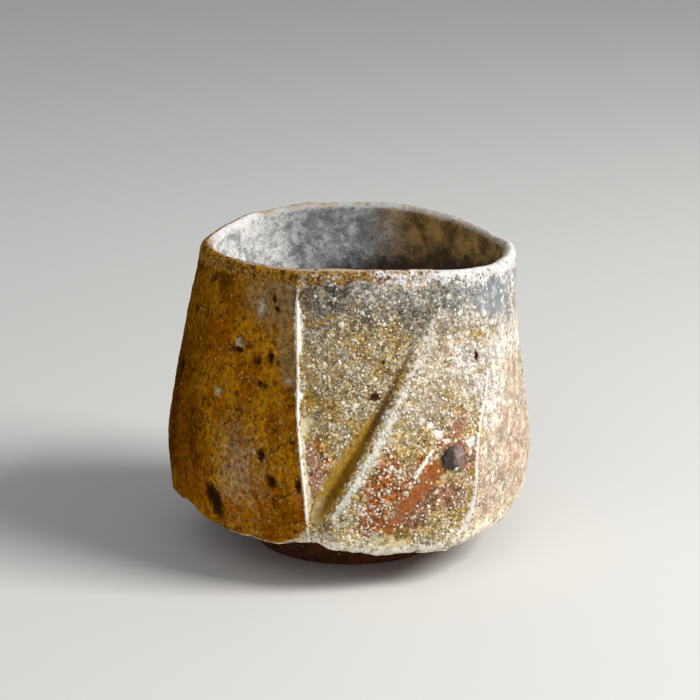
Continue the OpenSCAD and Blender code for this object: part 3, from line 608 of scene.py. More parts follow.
def glaze_zones(wall, points):
    """How strongly each finish of the ash glaze shows at points of its surface."""
    at = Spots(points)
    degrees, height = at.degrees, at.height
    share = wall.share(at.z)
    lines = wall.lines(share)
    from_ridge, from_valley, from_crest, from_thin = (
        at.radius * (at.turn - lines[k]) / MM for k in (RIDGE, VALLEY, CREST, THIN))
    below_lip = (wall.lip_z(at.turn) - at.z) / MM
    above_edge = (at.z - wall.edge_z(at.turn)) / MM
    back = np.maximum(ramp(115, 160, degrees), ramp(-125, -165, degrees))
    before_back = ramp(155, 115, degrees)
    zones = {name: at.laid(name) for name in PLACED_ZONES}

    # Amber glaze of the left facet, and painted shade that darkens its left side, which faces away from the key
    # light, and a little its foot
    zones["amber"] = amber = ramp(0.3, -0.3, from_ridge) * ramp(-178, -130, degrees)
    left_shade = 0.95 * ramp(-50, -74, degrees) * ramp(9, 16, height) + 0.12 * ramp(17, 10, height)
    zones["left_shade"] = amber * np.clip(left_shade + at.laid("left_shade"), 0, 1)

    # Ash under the lip: grey at the front, blue and white on the right
    over_foot = height - np.interp(degrees, *GREY_FOOT) - wave(at.turn, GREY_WAVES)
    front = window(degrees, -27, -18, 88, 112) * lerp(1, 0.8, ramp(20, 40, degrees))
    zones["ash"] = ramp(-6.0, 4.0, over_foot) * np.maximum(front, 0.55 * back)
    zones["soot"] = 0.9 * ramp(6.5, 3.0, below_lip) * window(degrees, -24, -17, -3, 4)
    zones["pale_ash"] = ramp(8.0, 3.5, below_lip) * window(degrees, -3, 4, 22, 36)
    zones["frost"] = 0.62 * ramp(-7, -1, over_foot) * window(degrees, 24, 50, 95, 120)
    white_belt = 0.8 * bell((height - 37.5) / 3.0) * window(degrees, 30, 42, 95, 120)
    zones["hoar"] = most(at.laid("hoar"), white_belt)
    zones["blue"] = window(degrees, 20, 50, 100, 125)

    # Pale glaze of the right side, and the rust below the groove
    right_facet = ramp(-1, 3, from_crest) * ramp(24, 34, height) * before_back
    cream = np.maximum(0.9 * ramp(-2, 4, from_thin) * before_back, 0.52 * right_facet)
    zones["cream"] = cream * (1 - 0.75 * np.clip(1.5 * zones["slate"], 0, 1))
    zones["blush"] = most(at.laid("blush"), bell((from_thin - 0.7) / 0.5) * window(height, 12, 15, 22, 27))
    zones["rust"] = most(at.laid("rust"), zones["bare"])

    # Pale ash along the lower edge, and glaze that ran beside the ridges
    zones["foot_pale"] = most(
        ramp(4.4, 1.6, above_edge) * window(degrees, -18, -13, 10, 24),
        ramp(6.0, 1.5, above_edge) * window(degrees, 24, 34, 90, 120),
        0.85 * ramp(0.9, 0.2, above_edge) * window(degrees, -52, -42, -15, -12))
    zones["honey"] = most(
        at.laid("honey"), 0.5 * bell((from_ridge - 1.8) / 1.6) * window(height, 24, 28, 38, 43),
        0.62 * bell((from_thin + 0.7) / 0.5) * window(height, 11, 14, 19, 23))

    # The lip: rusty on the left, crumbly in the middle, white on the right
    over_band = below_lip - LIP_BAND - wave(at.turn, LIP_BAND_WAVES)
    over_band = over_band + LIP_BAND_DIP * window(degrees, -4, 3, 6, 12)
    zones["rusty_lip"] = ramp(0.35, -0.35, over_band) * window(degrees, -125, -70, 4, 12)
    zones["crumb"] = 0.85 * ramp(0.9, -0.9, over_band - 0.4) * window(degrees, 3, 9, 26, 40)
    zones["white_lip"] = np.maximum(ramp(4.0, 0.4, below_lip) * window(degrees, 22, 42, 110, 150),
                                    0.7 * ramp(3.5, 0.5, below_lip) * back)
    # A cream line under the rusty band, and a painted highlight along the crest of the lip at the front
    zones["lip_line_and_highlight"] = np.maximum(
        0.72 * bell((over_band - 0.3) / 0.3) * window(degrees, -30, -18, 2, 10),
        0.75 * bell((below_lip - 0.05) / 0.22) * window(degrees, -60, -40, 2, 10))

    # Lines of ash on the ridges and on the crest, and a painted highlight on the lit right side of the long
    # ridge
    ridge_half = np.interp(height, *RIDGE_HALVES) * (1 + wave(height, RIDGE_WAVES))
    ridge_line = bell(from_ridge / ridge_half) * window(height, 11.5, 13.5, 47.0, 50.8)
    thin_line = bell(from_thin / np.interp(height, *THIN_HALVES)) * ramp(0.66, 0.56, share)
    zones["pale_line"] = most(ridge_line, thin_line, at.laid("melted"))
    zones["ridge_lit_side"] = bell((from_ridge - 0.5) / 0.35) * np.maximum(
        0.85 * window(height, 13, 15, 26, 30), 0.6 * window(height, 38, 41, 44, 47))
    crest_half = np.interp(height, *CREST_HALVES) * (1 + wave(height, CREST_WAVES))
    crest_half = crest_half * np.where(from_crest > 0.3, 1.25, 0.75)
    crest_line = bell((from_crest - 0.3) / crest_half) * lerp(0.95, 0.58, ramp(18, 36, height))
    zones["crest"] = crest_line * window(height, 11.5, 14, 43, 49)

    # Dark glaze on the flank of the groove, painted darker as the shade of the flank, which faces away from the
    # key light, and the glaze that ran down its hollow
    in_groove = ramp(0.0, 0.6, from_ridge) * ramp(11.5, 14, height)
    flank = bell((from_valley - 0.9) / np.interp(height, *FLANK_HALVES))
    flank = flank * lerp(1.0, 0.62, ramp(26, 36, height)) * lerp(1.0, 0.3, ramp(18, 13.5, height))
    zones["flank_glaze_and_shade"] = flank * ramp(47, 38, height) * in_groove
    hollow = bell((from_valley + 0.3) / np.interp(height, *HOLLOW_HALVES))
    zones["hollow"] = hollow * ramp(33, 25, height) * in_groove
    zones["shade"] = ramp(24, 31, height)
    zones["pit"] = at.marks(PITS)[0]
    zones["pebble"] = at.marks(PEBBLES)[0]

    # How coarse the grains are, and how thick they lie
    far_right = ramp(0, 3, from_thin) * before_back
    coarse = lerp(lerp(lerp(0.45, 0.75, ramp(-1, 3, from_crest)), 0.8, far_right), 0.3, back)
    zones["coarse"] = lerp(coarse, 0.15, amber)
    grains = lerp(0.62, lerp(0.8, 1.0, ramp(20, 32, height)), ramp(-1, 2, from_crest))
    grains = lerp(grains, 0.4, far_right)
    grains = lerp(grains, lerp(0.22, 0.10, ramp(-55, -75, degrees)) + at.laid("stained_grains"), amber)
    grains = lerp(grains, 0.35, back) * lerp(1.0, 0.6, zones["ash"])
    for name, left in GRAINS_LEFT.items():
        grains = lerp(grains, left, np.clip(1.5 * zones[name], 0, 1))
    grains = grains + at.laid("rust_grains")
    grains = grains * np.clip(0.9 + 1.1 * rough(points, 3 * MM, 3, 6), 0.2, 1.3)
    grains = lerp(grains, 0.06, ramp(0.3, 0.6, zones["bare"]))
    zones["grains"] = grains * ramp(0.2, 1.0, below_lip) * ramp(-1.5, 0.3, above_edge)
    return zones


# Stretches of patterns: none, and drawn out downwards where the glaze ran
EVEN = (1, 1, 1)
RUNS = (1, 1, 0.35)


def feed(tree, socket, value):
    """Gives a socket of a tree a value, or a link if the value is another socket."""
    if isinstance(value, bpy.types.NodeSocket):
        tree.links.new(value, socket)
    else:
        socket.default_value = value


def add_node(tree, kind, inputs=(), **settings):
    """Adds a node to a tree, with its settings, and with values or links for its inputs."""
    node = tree.nodes.new(kind)
    for name, value in settings.items():
        setattr(node, name, value)
    for name, value in dict(inputs).items():
        feed(tree, node.inputs[name], value)
    return node


class Finish:
    """A material, whose nodes are added one after another; sizes of its patterns are in millimetres."""
    # How far a seed moves a pattern, how much a grain's chance tears a border, and the range of clouds there
    SHIFT = (0.37, 0.11, 0.23)
    TEAR = 0.22
    TORN = (0.42, 0.82)

    def __init__(self, name, roughness, specular, warp=0.0):
        self.material = bpy.data.materials.new(name)
        self.material.use_nodes = True
        self.tree = self.material.node_tree
        self.shader = self.tree.nodes["Principled BSDF"]
        self.give("Roughness", roughness)
        self.give("Specular IOR Level", specular)
        self.chance = 0.0
        self.place = self.add("ShaderNodeTexCoord").outputs["Object"]
        if warp:
            self.place = self.bent(warp * MM)

    def give(self, name, value):
        feed(self.tree, self.shader.inputs[name], value)

    def add(self, kind, inputs=(), **settings):
        return add_node(self.tree, kind, inputs, **settings)

    def bent(self, far):
        """The place on the piece, drawn about, so that grains and borders lose their even shapes."""
        drift = self.add("ShaderNodeTexNoise", {"Vector": self.place, "Scale": 1 / (2 * far), "Detail": 2.0})
        drift = self.add("ShaderNodeVectorMath", {0: drift.outputs["Color"], 1: (0.5, 0.5, 0.5)},
                         operation="SUBTRACT")
        return self.add("ShaderNodeVectorMath", {0: drift.outputs[0], 1: (far, far, far), 2: self.place},
                        operation="MULTIPLY_ADD").outputs[0]

    def moved(self, seed, stretch=EVEN):
        """The place on the piece, moved so that patterns of one size don't lie on each other."""
        shift = [far * seed for far in self.SHIFT]
        return self.add("ShaderNodeMapping", {"Vector": self.place, "Location": shift,
                                              "Scale": stretch}).outputs[0]

    def clouds(self, size, seed, detail=4.0, stretch=EVEN):
        """Soft clouds, 0 to 1, with features of the given size."""
        return self.add("ShaderNodeTexNoise", {"Vector": self.moved(seed, stretch), "Scale": 1 / (size * MM),
                                               "Detail": detail, "Roughness": 0.6}).outputs["Fac"]

    def patches(self, size, seed, low=0.42, high=0.58, stretch=EVEN):
        """Clouds drawn apart into patches, 0 or 1 with soft borders."""
        return self.levels(self.clouds(size, seed, 5.0, stretch), low, high)

    def cells(self, size, seed):
        """Grains in cells of the given size: the distance from the middle of each, and its chance, 0 to 1."""
        node = self.add("ShaderNodeTexVoronoi", {"Vector": self.moved(seed), "Scale": 1 / (size * MM)})
        chance = self.add("ShaderNodeSeparateColor", {"Color": node.outputs["Color"]}).outputs["Red"]
        return node.outputs["Distance"], chance

    def zone(self, name):
        """A value that the mesh holds at its points."""
        return self.add("ShaderNodeAttribute", attribute_name=name).outputs["Fac"]

    def levels(self, value, low, high, first=0.0, last=1.0):
        return self.add("ShaderNodeMapRange", {"Value": value, "From Min": low, "From Max": high,
                                               "To Min": first, "To Max": last},
                        interpolation_type="SMOOTHSTEP").outputs["Result"]

    def sums(self, operation, *values):
        return self.add("ShaderNodeMath", dict(enumerate(values)), operation=operation).outputs[0]

    def times(self, mask, strength):
        return self.sums("MULTIPLY", mask, strength)

    def mix(self, factor, under, over, blend="MIX"):
        return self.add("ShaderNodeMix", {0: factor, 6: under, 7: over}, data_type="RGBA",
                        blend_type=blend).outputs[2]

    def dappled(self, under, over, size, seed, low=0.42, high=0.58, strength=None, stretch=EVEN):
        """A colour with patches of another."""
        mask = self.patches(size, seed, low, high, stretch)
        return self.mix(mask if strength is None else self.times(mask, strength), under, over)

    def coat(self, under, over, zone, size, seed, soft, strength=1.0, stretch=EVEN):
        """A colour over another in a zone, with a border torn by clouds and by the chance of each grain."""
        clouds = self.sums("MULTIPLY_ADD", self.chance, self.TEAR, self.clouds(size, seed, 4.0, stretch))
        edge = self.levels(clouds, *self.TORN, soft, 1 - soft)
        mask = self.levels(self.sums("SUBTRACT", self.zone(zone), edge), -soft, soft, 0.0, strength)
        return self.mix(mask, under, over)

    def dots(self, cells, share, radius=0.34, soft=0.08):
        """Round grains in a share of the cells: 1 in the middle of each and 0 outside."""
        distance, chance = cells
        chosen = self.levels(self.sums("SUBTRACT", share, chance), -0.04, 0.04)
        return self.times(chosen, self.levels(distance, radius + soft, radius - soft))

    def toned(self, colour, chance, dark, light):
        """A colour made darker or lighter grain by grain."""
        return self.mix(1.0, colour, self.levels(chance, 0.0, 1.0, dark, light), "MULTIPLY")

    def clouded(self, colour, size, seed, low, high, dark, light):
        """A colour made darker or lighter by clouds."""
        return self.toned(colour, self.levels(self.clouds(size, seed), low, high), dark, light)

    def bump(self, height, distance):
        node = self.add("ShaderNodeBump", {"Height": height, "Distance": distance * MM, "Strength": 1.0})
        self.give("Normal", node.outputs[0])


def ash_glaze_finish(colours):
    """Natural ash glaze: mottled ochre, amber, cream, grey and rust, speckled with melted feldspar."""
    finish = Finish("ash_glaze", 0.6, 0.06, 0.5)
    fine, middle = finish.cells(0.34, 1), finish.cells(0.66, 2)
    finish.chance = middle[1]
    zone, mix, times, levels = finish.zone, finish.mix, finish.times, finish.levels
    coat, dappled, toned, clouded = finish.coat, finish.dappled, finish.toned, finish.clouded

    # The glaze itself: ochre at the front, cream on the right, amber on the left, and the rust under it
    upper = zone("shade")
    colour = dappled(colours.ochre, colours.beige, 4, 3, 0.38, 0.62)
    colour = dappled(colour, colours.ash_pale, 3.2, 49, 0.52, 0.66, times(upper, 0.6))
    colour = dappled(colour, colours.wheat, 2.2, 57, 0.40, 0.56, levels(upper, 0.0, 1.0, 0.75, 0.0))
    cream = dappled(colours.cream, colours.blush, 2.4, 39, 0.44, 0.60, levels(upper, 0.0, 1.0, 0.65, 0.2))
    cream = dappled(cream, colours.beige, 2.0, 62, 0.48, 0.60, times(upper, 0.6))
    colour = coat(colour, cream, "cream", 3, 4, 0.3)
    colour = coat(colour, colours.blush, "blush", 2, 5, 0.3, 0.7)
    amber = dappled(colours.amber, colours.gold, 6, 6, 0.40, 0.60, stretch=(1, 1, 0.7))
    amber = dappled(amber, colours.umber, 1.8, 7, 0.52, 0.68)
    colour = mix(zone("amber"), colour, amber)
    colour = coat(colour, colours.crumb, "dusty", 0.8, 58, 0.2, 0.5)
    flame = dappled(colours.flame, colours.amber, 2, 8)
    colour = coat(colour, flame, "orange", 3, 9, 0.3, 0.8)
    colour = coat(colour, colours.umber, "dusk", 2, 29, 0.3, 0.75)
    # Painted shade: the amber darkens to umber towards its left side and towards the foot
    colour = mix(times(zone("left_shade"), 0.62), colour, colours.umber)
    colour = coat(colour, colours.rust, "rust", 1.5, 10, 0.2, 0.95)
    scorch = dappled(colours.scorch, colours.mauve, 1.6, 48, 0.44, 0.60)
    colour = coat(colour, scorch, "scorch", 1.5, 11, 0.25, 0.9)
    colour = coat(colour, colours.mauve, "mauve", 1.2, 12, 0.25)

    # Ash under the lip and along the lower edge
    grey = dappled(colours.ash_grey, colours.beige, 1.3, 33, 0.48, 0.62, 0.6, (1, 1, 0.6))
    grey = dappled(grey, colours.slate, 2.6, 61, 0.50, 0.60, 0.6)
    grey = dappled(grey, colours.char, 0.9, 34, 0.54, 0.66, 0.7)
    grey = coat(grey, colours.ash_pale, "pale_ash", 1.6, 41, 0.2, 0.8)
    blue = dappled(colours.ash_blue, colours.slate, 2.2, 51, 0.48, 0.62, 0.75)
    blue = dappled(blue, colours.snow, 1.7, 52, 0.53, 0.63, 0.8, (1, 1, 0.55))
    grey = mix(times(zone("blue"), 0.85), grey, blue)
    colour = coat(colour, grey, "ash", 3, 13, 0.3, 0.9)
    colour = coat(colour, colours.soot, "soot", 1.6, 37, 0.2, 0.75, RUNS)
    colour = coat(colour, colours.smoke, "smoke", 2.4, 14, 0.35, 0.7)
    colour = coat(colour, colours.frost, "frost", 1.8, 28, 0.25, 0.42, RUNS)
    colour = coat(colour, colours.snow, "hoar", 1.6, 42, 0.2, 0.6)
    colour = coat(colour, colours.foot_pale, "foot_pale", 1.4, 43, 0.18, 0.88)

    # The grain of all that
    grainy = clouded(toned(colour, fine[1], 0.5, 1.4), 0.5, 31, 0.3, 0.7, 0.56, 1.42)
    blurred = clouded(colour, 0.95, 56, 0.3, 0.7, 0.5, 1.5)
    grainy = mix(times(zone("amber"), 0.65), grainy, blurred)
    colour = mix(times(zone("cream"), 0.75), grainy, colour)
    mottled = clouded(colour, 1.6, 50, 0.34, 0.66, 0.74, 1.26)
    mottled = mix(zone("cream"), mottled, clouded(mottled, 2.6, 53, 0.36, 0.64, 0.84, 1.24))
    colour = mix(zone("amber"), mottled, colour)

    # Smoother places over it: slate, bare clay, the groove, and the lip
    slate = dappled(colours.ash_blue, colours.snow, 1.7, 60, 0.50, 0.62, 0.7, (1, 1, 0.4))
    colour = coat(colour, slate, "slate", 2.2, 59, 0.3, 0.85, RUNS)
    bare = dappled(colours.rust, colours.mauve, 2.5, 55, 0.45, 0.65, 0.6)
    bare = clouded(bare, 0.7, 63, 0.3, 0.7, 0.75, 1.22)
    colour = coat(colour, bare, "bare", 1.4, 54, 0.3, 0.75)
    colour = coat(colour, colours.honey, "honey", 1.5, 15, 0.2, 0.8)
    colour = coat(colour, colours.butter, "butter", 1.3, 47, 0.2, 0.85)
    colour = coat(colour, colours.honey, "hollow", 1.5, 16, 0.42, 0.8)
    # Painted shade with the darker glaze on the groove's flank, which faces away from the key light
    colour = coat(colour, mix(upper, colours.pool, colours.umber), "flank_glaze_and_shade", 1.2, 17, 0.42, 0.9)
    crumb = dappled(colours.crumb, colours.snow, 1.3, 44)
    crumb = dappled(crumb, colours.umber, 0.9, 45, 0.54, 0.62, 0.85)
    colour = coat(colour, toned(crumb, fine[1], 0.6, 1.25), "crumb", 1.2, 46, 0.2)
    pale_lip = dappled(colours.snow, colours.ash_blue, 1.1, 40, 0.50, 0.64, 0.4)
    colour = coat(colour, pale_lip, "white_lip", 1.6, 18, 0.2, 0.95, RUNS)
    rusty = dappled(colours.lip_rust, mix(zone("amber"), colours.beige, colours.gold), 0.9, 26, 0.46, 0.62)
    rusty = dappled(rusty, colours.umber, 1.1, 35, 0.50, 0.62, 0.85)
    colour = coat(colour, toned(rusty, fine[1], 0.5, 1.5), "rusty_lip", 1.2, 19, 0.2)

    # Melted grains, and the ash that lies on the ridges
    grains = zone("grains")
    pale = toned(mix(zone("amber"), colours.feldspar, colours.tan), fine[1], 0.7, 1.08)
    specks = finish.dots(middle, times(grains, levels(zone("coarse"), 0.0, 1.0, 0.4, 0.55)), 0.36, 0.14)
    small = finish.dots(fine, times(grains, 0.32))
    broad = finish.dots(finish.cells(1.5, 38), times(zone("cream"), 0.55), 0.36, 0.2)
    cover = finish.sums("MAXIMUM", finish.sums("MAXIMUM", specks, small), broad)
    colour = mix(times(cover, 0.8), colour, pale)
    colour = coat(colour, toned(colours.crest, fine[1], 0.8, 1.12), "crest", 0.9, 27, 0.27, 0.92)
    # Painted highlight: pale cream along the right side of the long ridge, which faces the key light
    colour = coat(colour, colours.foot_pale, "ridge_lit_side", 1.0, 32, 0.25, 0.85)
    colour = coat(colour, colours.white, "pale_line", 0.8, 20, 0.25)
    # Painted highlight along the lip's crest, with the cream line under the rusty band
    colour = coat(colour, colours.cream, "lip_line_and_highlight", 1.0, 21, 0.25, 0.8)

    # Pebbles, the painted shadow on the left of the stone, dark specks and pits
    colour = coat(colour, toned(colours.pebble, fine[1], 0.6, 1.3), "pebble", 0.6, 36, 0.3, 0.9)
    # Painted shadow that the stone casts on the glaze to its left
    colour = coat(colour, colours.char, "stone_shadow", 0.8, 30, 0.3, 0.7)
    dark = finish.dots(finish.cells(1.1, 22), levels(zone("cream"), 0.0, 1.0, 0.12, 0.02), 0.24, 0.1)
    colour = mix(times(dark, 0.75), colour, colours.umber)
    ragged = finish.sums("MULTIPLY_ADD", finish.clouds(0.6, 23), 1.2, zone("pit"))
    colour = mix(levels(ragged, 0.7, 1.05), colour, colours.umber)
    colour = mix(levels(ragged, 1.0, 1.45), colour, colours.char)
    finish.give("Base Color", colour)

    height = finish.sums("MULTIPLY_ADD", cover, 0.9, finish.clouds(0.35, 24, 3))
    smooth = finish.sums("SUBTRACT", 1.0, finish.sums("MAXIMUM", zone("hollow"), zone("flank_glaze_and_shade")))
    finish.bump(times(height, smooth), 0.14)
    finish.give("Roughness", levels(finish.clouds(4, 25), 0.3, 0.7, 0.48, 0.7))
    finish.give("Specular IOR Level", levels(zone("amber"), 0.0, 1.0, 0.06, 0.0))
    return finish.material


def inner_glaze_finish(colours):
    """Pale inner glaze: white on the left, mottled grey, and scorched brown on the right, with painted shade on
    the right and deep down.
    """
    finish = Finish("inner_glaze", 0.55, 0.15, 1.0)
    fine = finish.cells(0.35, 8)
    finish.chance = finish.times(fine[1], 0.5)
    zone, levels, coat, dappled, toned = finish.zone, finish.levels, finish.coat, finish.dappled, finish.toned

    grey = dappled(colours.inner_grey, colours.inner_mist, 2.6, 10, 0.38, 0.66)
    colour = coat(colours.inner_white, grey, "grey", 5, 2, 0.35, 0.95)
    brown = dappled(colours.inner_brown_and_shade, colours.inner_ochre, 3, 9, 0.38, 0.66)
    # Painted shade: the brown on the right and the darkest glaze deep down stand partly for shade inside the
    # cup
    colour = coat(colour, brown, "brown", 4, 3, 0.42)
    colour = coat(colour, colours.inner_dark_and_shade, "deep", 4, 11, 0.35, 0.92)
    colour = dappled(colour, colours.inner_blue, 2.4, 17, 0.49, 0.60,
                     levels(zone("brown"), 0.0, 0.5, 0.55, 0.0))
    colour = dappled(colour, colours.inner_dark_and_shade, 2.8, 18, 0.50, 0.60,
                     levels(zone("deep"), 0.1, 0.7, 0.05, 0.7))
    colour = dappled(colour, colours.inner_dark_and_shade, 1.2, 12, 0.58, 0.7, 0.5)
    colour = dappled(colour, colours.inner_white, 1.5, 13, 0.58, 0.72,
                     levels(zone("brown"), 0.1, 0.5, 0.35, 0.0))
    colour = toned(colour, fine[1], 0.85, 1.1)
    rusty = dappled(colours.lip_rust, colours.inner_mist, 0.9, 19, 0.46, 0.62)
    rusty = dappled(rusty, colours.umber, 1.1, 20, 0.50, 0.62, 0.85)
    colour = coat(colour, toned(rusty, fine[1], 0.5, 1.4), "rusty_lip", 0.9, 4, 0.35, 0.95)
    lip = dappled(colours.lip_tan, colours.inner_mist, 1.6, 15, 0.42, 0.60)
    lip = dappled(lip, colours.inner_brown_and_shade, 1.0, 16, 0.55, 0.66, 0.75)
    colour = coat(colour, lip, "pale_lip", 1.5, 5, 0.25, 0.9)
    snow = dappled(colours.snow, colours.inner_mist, 1.2, 21, 0.50, 0.62, 0.6)
    colour = coat(colour, snow, "white_lip", 0.9, 14, 0.35, 0.95)
    finish.give("Base Color", colour)
    finish.bump(finish.clouds(0.8, 6), 0.10)
    finish.give("Roughness", levels(finish.clouds(4, 7), 0.3, 0.7, 0.45, 0.65))
    return finish.material


def clay_finish(name, colours, grit_size):
    """Bare dark red-brown stoneware with sandy grit."""
    finish = Finish(name, 0.85, 0.3)
    cells = finish.cells(grit_size, 1)
    colour = finish.dappled(colours.clay, colours.umber, 5, 2, 0.38, 0.62)
    colour = finish.toned(colour, cells[1], 0.7, 1.3)
    grit = finish.dots(cells, 0.14, 0.26)
    finish.give("Base Color", finish.mix(finish.times(grit, 0.5), colour, colours.blush))
    finish.bump(finish.sums("MULTIPLY_ADD", grit, 0.4, finish.clouds(0.5, 3, 5)), 0.2)
    return finish.material


def crust_finish(colours):
    """Rough pale ash crust: pale along the edge, and khaki above it."""
    finish = Finish("edge_crust", 0.65, 0.1, 0.4)
    fine, cells = finish.cells(0.4, 1), finish.cells(0.8, 2)
    finish.chance = fine[1]
    khaki = finish.dappled(colours.crust_yellow, colours.honey, 1.6, 6)
    colour = finish.coat(khaki, colours.crust, "rim", 1.6, 3, 0.25)
    colour = finish.dappled(colour, colours.beige, 0.9, 4, 0.52, 0.66, 0.5)
    colour = finish.mix(finish.zone("shaded"), colour, colours.lip_rust)
    colour = finish.toned(colour, fine[1], 0.72, 1.1)
    colour = finish.mix(finish.times(finish.dots(cells, 0.2, 0.28), 0.7), colour, colours.scorch)
    finish.give("Base Color", colour)
    finish.bump(finish.clouds(0.4, 5, 4), 0.2)
    return finish.material


def pool_finish(colours):
    """Smooth olive glaze with milky clouds, darker along the groove's flank with painted shade."""
    finish = Finish("groove_pool", 0.45, 0.06, 0.6)
    cells = finish.cells(0.5, 1)
    finish.chance = cells[1]
    colour = finish.coat(colours.honey, colours.pool_pale, "milky", 2, 2, 0.3, 0.9)
    # Painted shade with the darker glaze on the groove's flank
    colour = finish.coat(colour, colours.pool, "flank_glaze_and_shade", 1.6, 4, 0.42, 0.9)
    colour = finish.toned(colour, cells[1], 0.82, 1.12)
    colour = finish.mix(finish.times(finish.dots(cells, 0.06, 0.25), 0.7), colour, colours.umber)
    finish.give("Base Color", colour)
    finish.bump(finish.clouds(0.6, 3, 3), 0.08)
    return finish.material


def grain_finish(colours):
    """Melted feldspar: white to beige, and stained by the amber glaze on the left."""
    finish = Finish("feldspar", 0.5, 0.15)
    tone = finish.zone("tone")
    pale = finish.mix(tone, colours.feldspar, colours.cream)
    stained = finish.mix(tone, colours.straw, colours.tan)
    colour = finish.mix(finish.zone("amber"), pale, stained)
    colour = finish.mix(finish.times(finish.zone("ash"), tone), colour, colours.ash_blue)
    finish.give("Base Color", finish.clouded(colour, 0.4, 1, 0.3, 0.7, 0.7, 1.05))
    finish.bump(finish.clouds(0.15, 2, 2), 0.03)
    return finish.material


def stone_finish(colours):
    """A scorched stone: dark on the left and grey-mauve on the right, partly painted shade on its left side and
    painted light on its right side.
    """
    finish = Finish("dark_stone", 0.65, 0.15, 0.4)
    cells = finish.cells(0.5, 1)
    finish.chance = cells[1]
    # Painted shade on the left of the stone and painted light on its right, over its own dark and grey-mauve
    colour = finish.coat(colours.burnt_and_shaded, colours.stone, "bloom_and_light", 1.2, 2, 0.3)
    finish.give("Base Color", finish.toned(colour, cells[1], 0.6, 1.25))
    finish.bump(finish.clouds(0.3, 3), 0.12)
    return finish.material


def put_in_scene(name, mesh, material, slot, *nodes):
    """Makes a piece of a mesh, which stands for CAD nodes and moves with the cup."""
    piece = bpy.data.objects.new(name, mesh)
    bpy.context.scene.collection.objects.link(piece)
    piece.data.materials.clear()
    piece.data.materials.append(material)
    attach(piece, "root")
    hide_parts(*nodes)
    return piece


def mesh_of(name, points, faces, zones=()):
    """A smooth mesh with a value at each point for every zone."""
    mesh = bpy.data.meshes.new(name)
    mesh.from_pydata(np.asarray(points).reshape(-1, 3).tolist(), [], faces)
    mesh.validate()
    mesh.polygons.foreach_set("use_smooth", np.ones(len(mesh.polygons), bool))
    for zone, values in dict(zones).items():
        attribute = mesh.attributes.new(zone, "FLOAT", "POINT")
        attribute.data.foreach_set("value", np.asarray(values, np.float32).ravel())
    mesh.update()
    return mesh


def ring_faces(rings, count, closed):
    """Faces between neighbouring rings of points that close on themselves."""
    faces = []
    here = np.arange(count)
    there = (here + 1) % count
    for k in range(rings if closed else rings - 1):
        a, b = k * count, (k + 1) % rings * count
        faces += np.stack([a + here, b + here, b + there, a + there], -1).tolist()
    return faces


def capped_faces(rings, count):
    """Faces between rings of points, and from both end rings to two points that follow the rings."""
    first, last, end = rings * count, rings * count + 1, (rings - 1) * count
    faces = ring_faces(rings, count, False)
    faces += [(first, i, (i + 1) % count) for i in range(count)]
    return faces + [(end + (i + 1) % count, end + i, last) for i in range(count)]


def padded(zones, points):
    """The values of the shown points, then zeros for the hidden ones."""
    return {name: np.concatenate([values.ravel(), np.zeros(points - values.size)])
            for name, values in zones.items()}


def rows_of(wall, columns, rows, lift):
    """A grid of points, lifted by one value or by one for each point."""
    lifts = np.broadcast_to(lift, (len(rows), len(columns.line)))
    return np.stack([wall.row(columns, *row, lifts[k]) for k, row in enumerate(rows)])


# Rows of the ash glaze, shown from the lip's crest round the lower edge, and hidden from there back up
OUTER_ROWS = (span(LIP, quarter(1), 0, 10) + span(SIDE, 0, 1, 138)[1:] + span(ROLL, 0, quarter(-1), 11)[1:]
              + span(UNDER, 0, 0.32, 5)[1:])
HIDDEN_OUTER_ROWS = (span(UNDER, 0.3, 0, 2) + span(ROLL, quarter(-1), 0, 3)[1:] + span(SIDE, 1, 0, 5)[1:]
                     + span(LIP, 0, quarter(1), 3)[1:])
# How deep the hidden sides of the ash glaze and of the inner glaze lie, and the face of the clay between them
GLAZE_DEPTH, INNER_DEPTH, CLAY_DEPTH = 0.7 * MM, 0.4 * MM, 0.45 * MM


def outer_glaze_grid(wall):
    """The shown side of the ash glaze, and the zones on it."""
    columns = wall_columns(1.0)
    even = rows_of(wall, columns, OUTER_ROWS, 0.0)
    return columns, rows_of(wall, columns, OUTER_ROWS, glaze_lift(even)), glaze_zones(wall, even)


def deposit_mesh(name, wall, columns, rows, thickness, zones):
    """A body of glaze that lies on the ash glaze: its upper side, and its lower side sunk in the glaze."""
    even = rows_of(wall, columns, rows, 0.0)
    lift = glaze_lift(even)
    top = rows_of(wall, columns, rows, lift + thickness(even))
    low = rows_of(wall, columns, rows, lift - GLAZE_DEPTH / 2)
    high, wide = len(rows), len(columns.line)
    size = high * wide
    index = np.arange(size).reshape(high, wide)
    a, b, c, d = index[:-1, :-1], index[1:, :-1], index[1:, 1:], index[:-1, 1:]
    faces = np.stack([a, b, c, d], -1).reshape(-1, 4).tolist()
    faces += (np.stack([a, d, c, b], -1).reshape(-1, 4) + size).tolist()
    border = np.concatenate([index[0, :-1], index[:-1, -1], index[-1, :0:-1], index[:0:-1, 0]])
    after = np.roll(border, -1)
    faces += np.stack([border, after, after + size, border + size], -1).tolist()
    points = np.concatenate([top.reshape(-1, 3), low.reshape(-1, 3)])
    return mesh_of(name, points, faces, padded(zones, 2 * size))


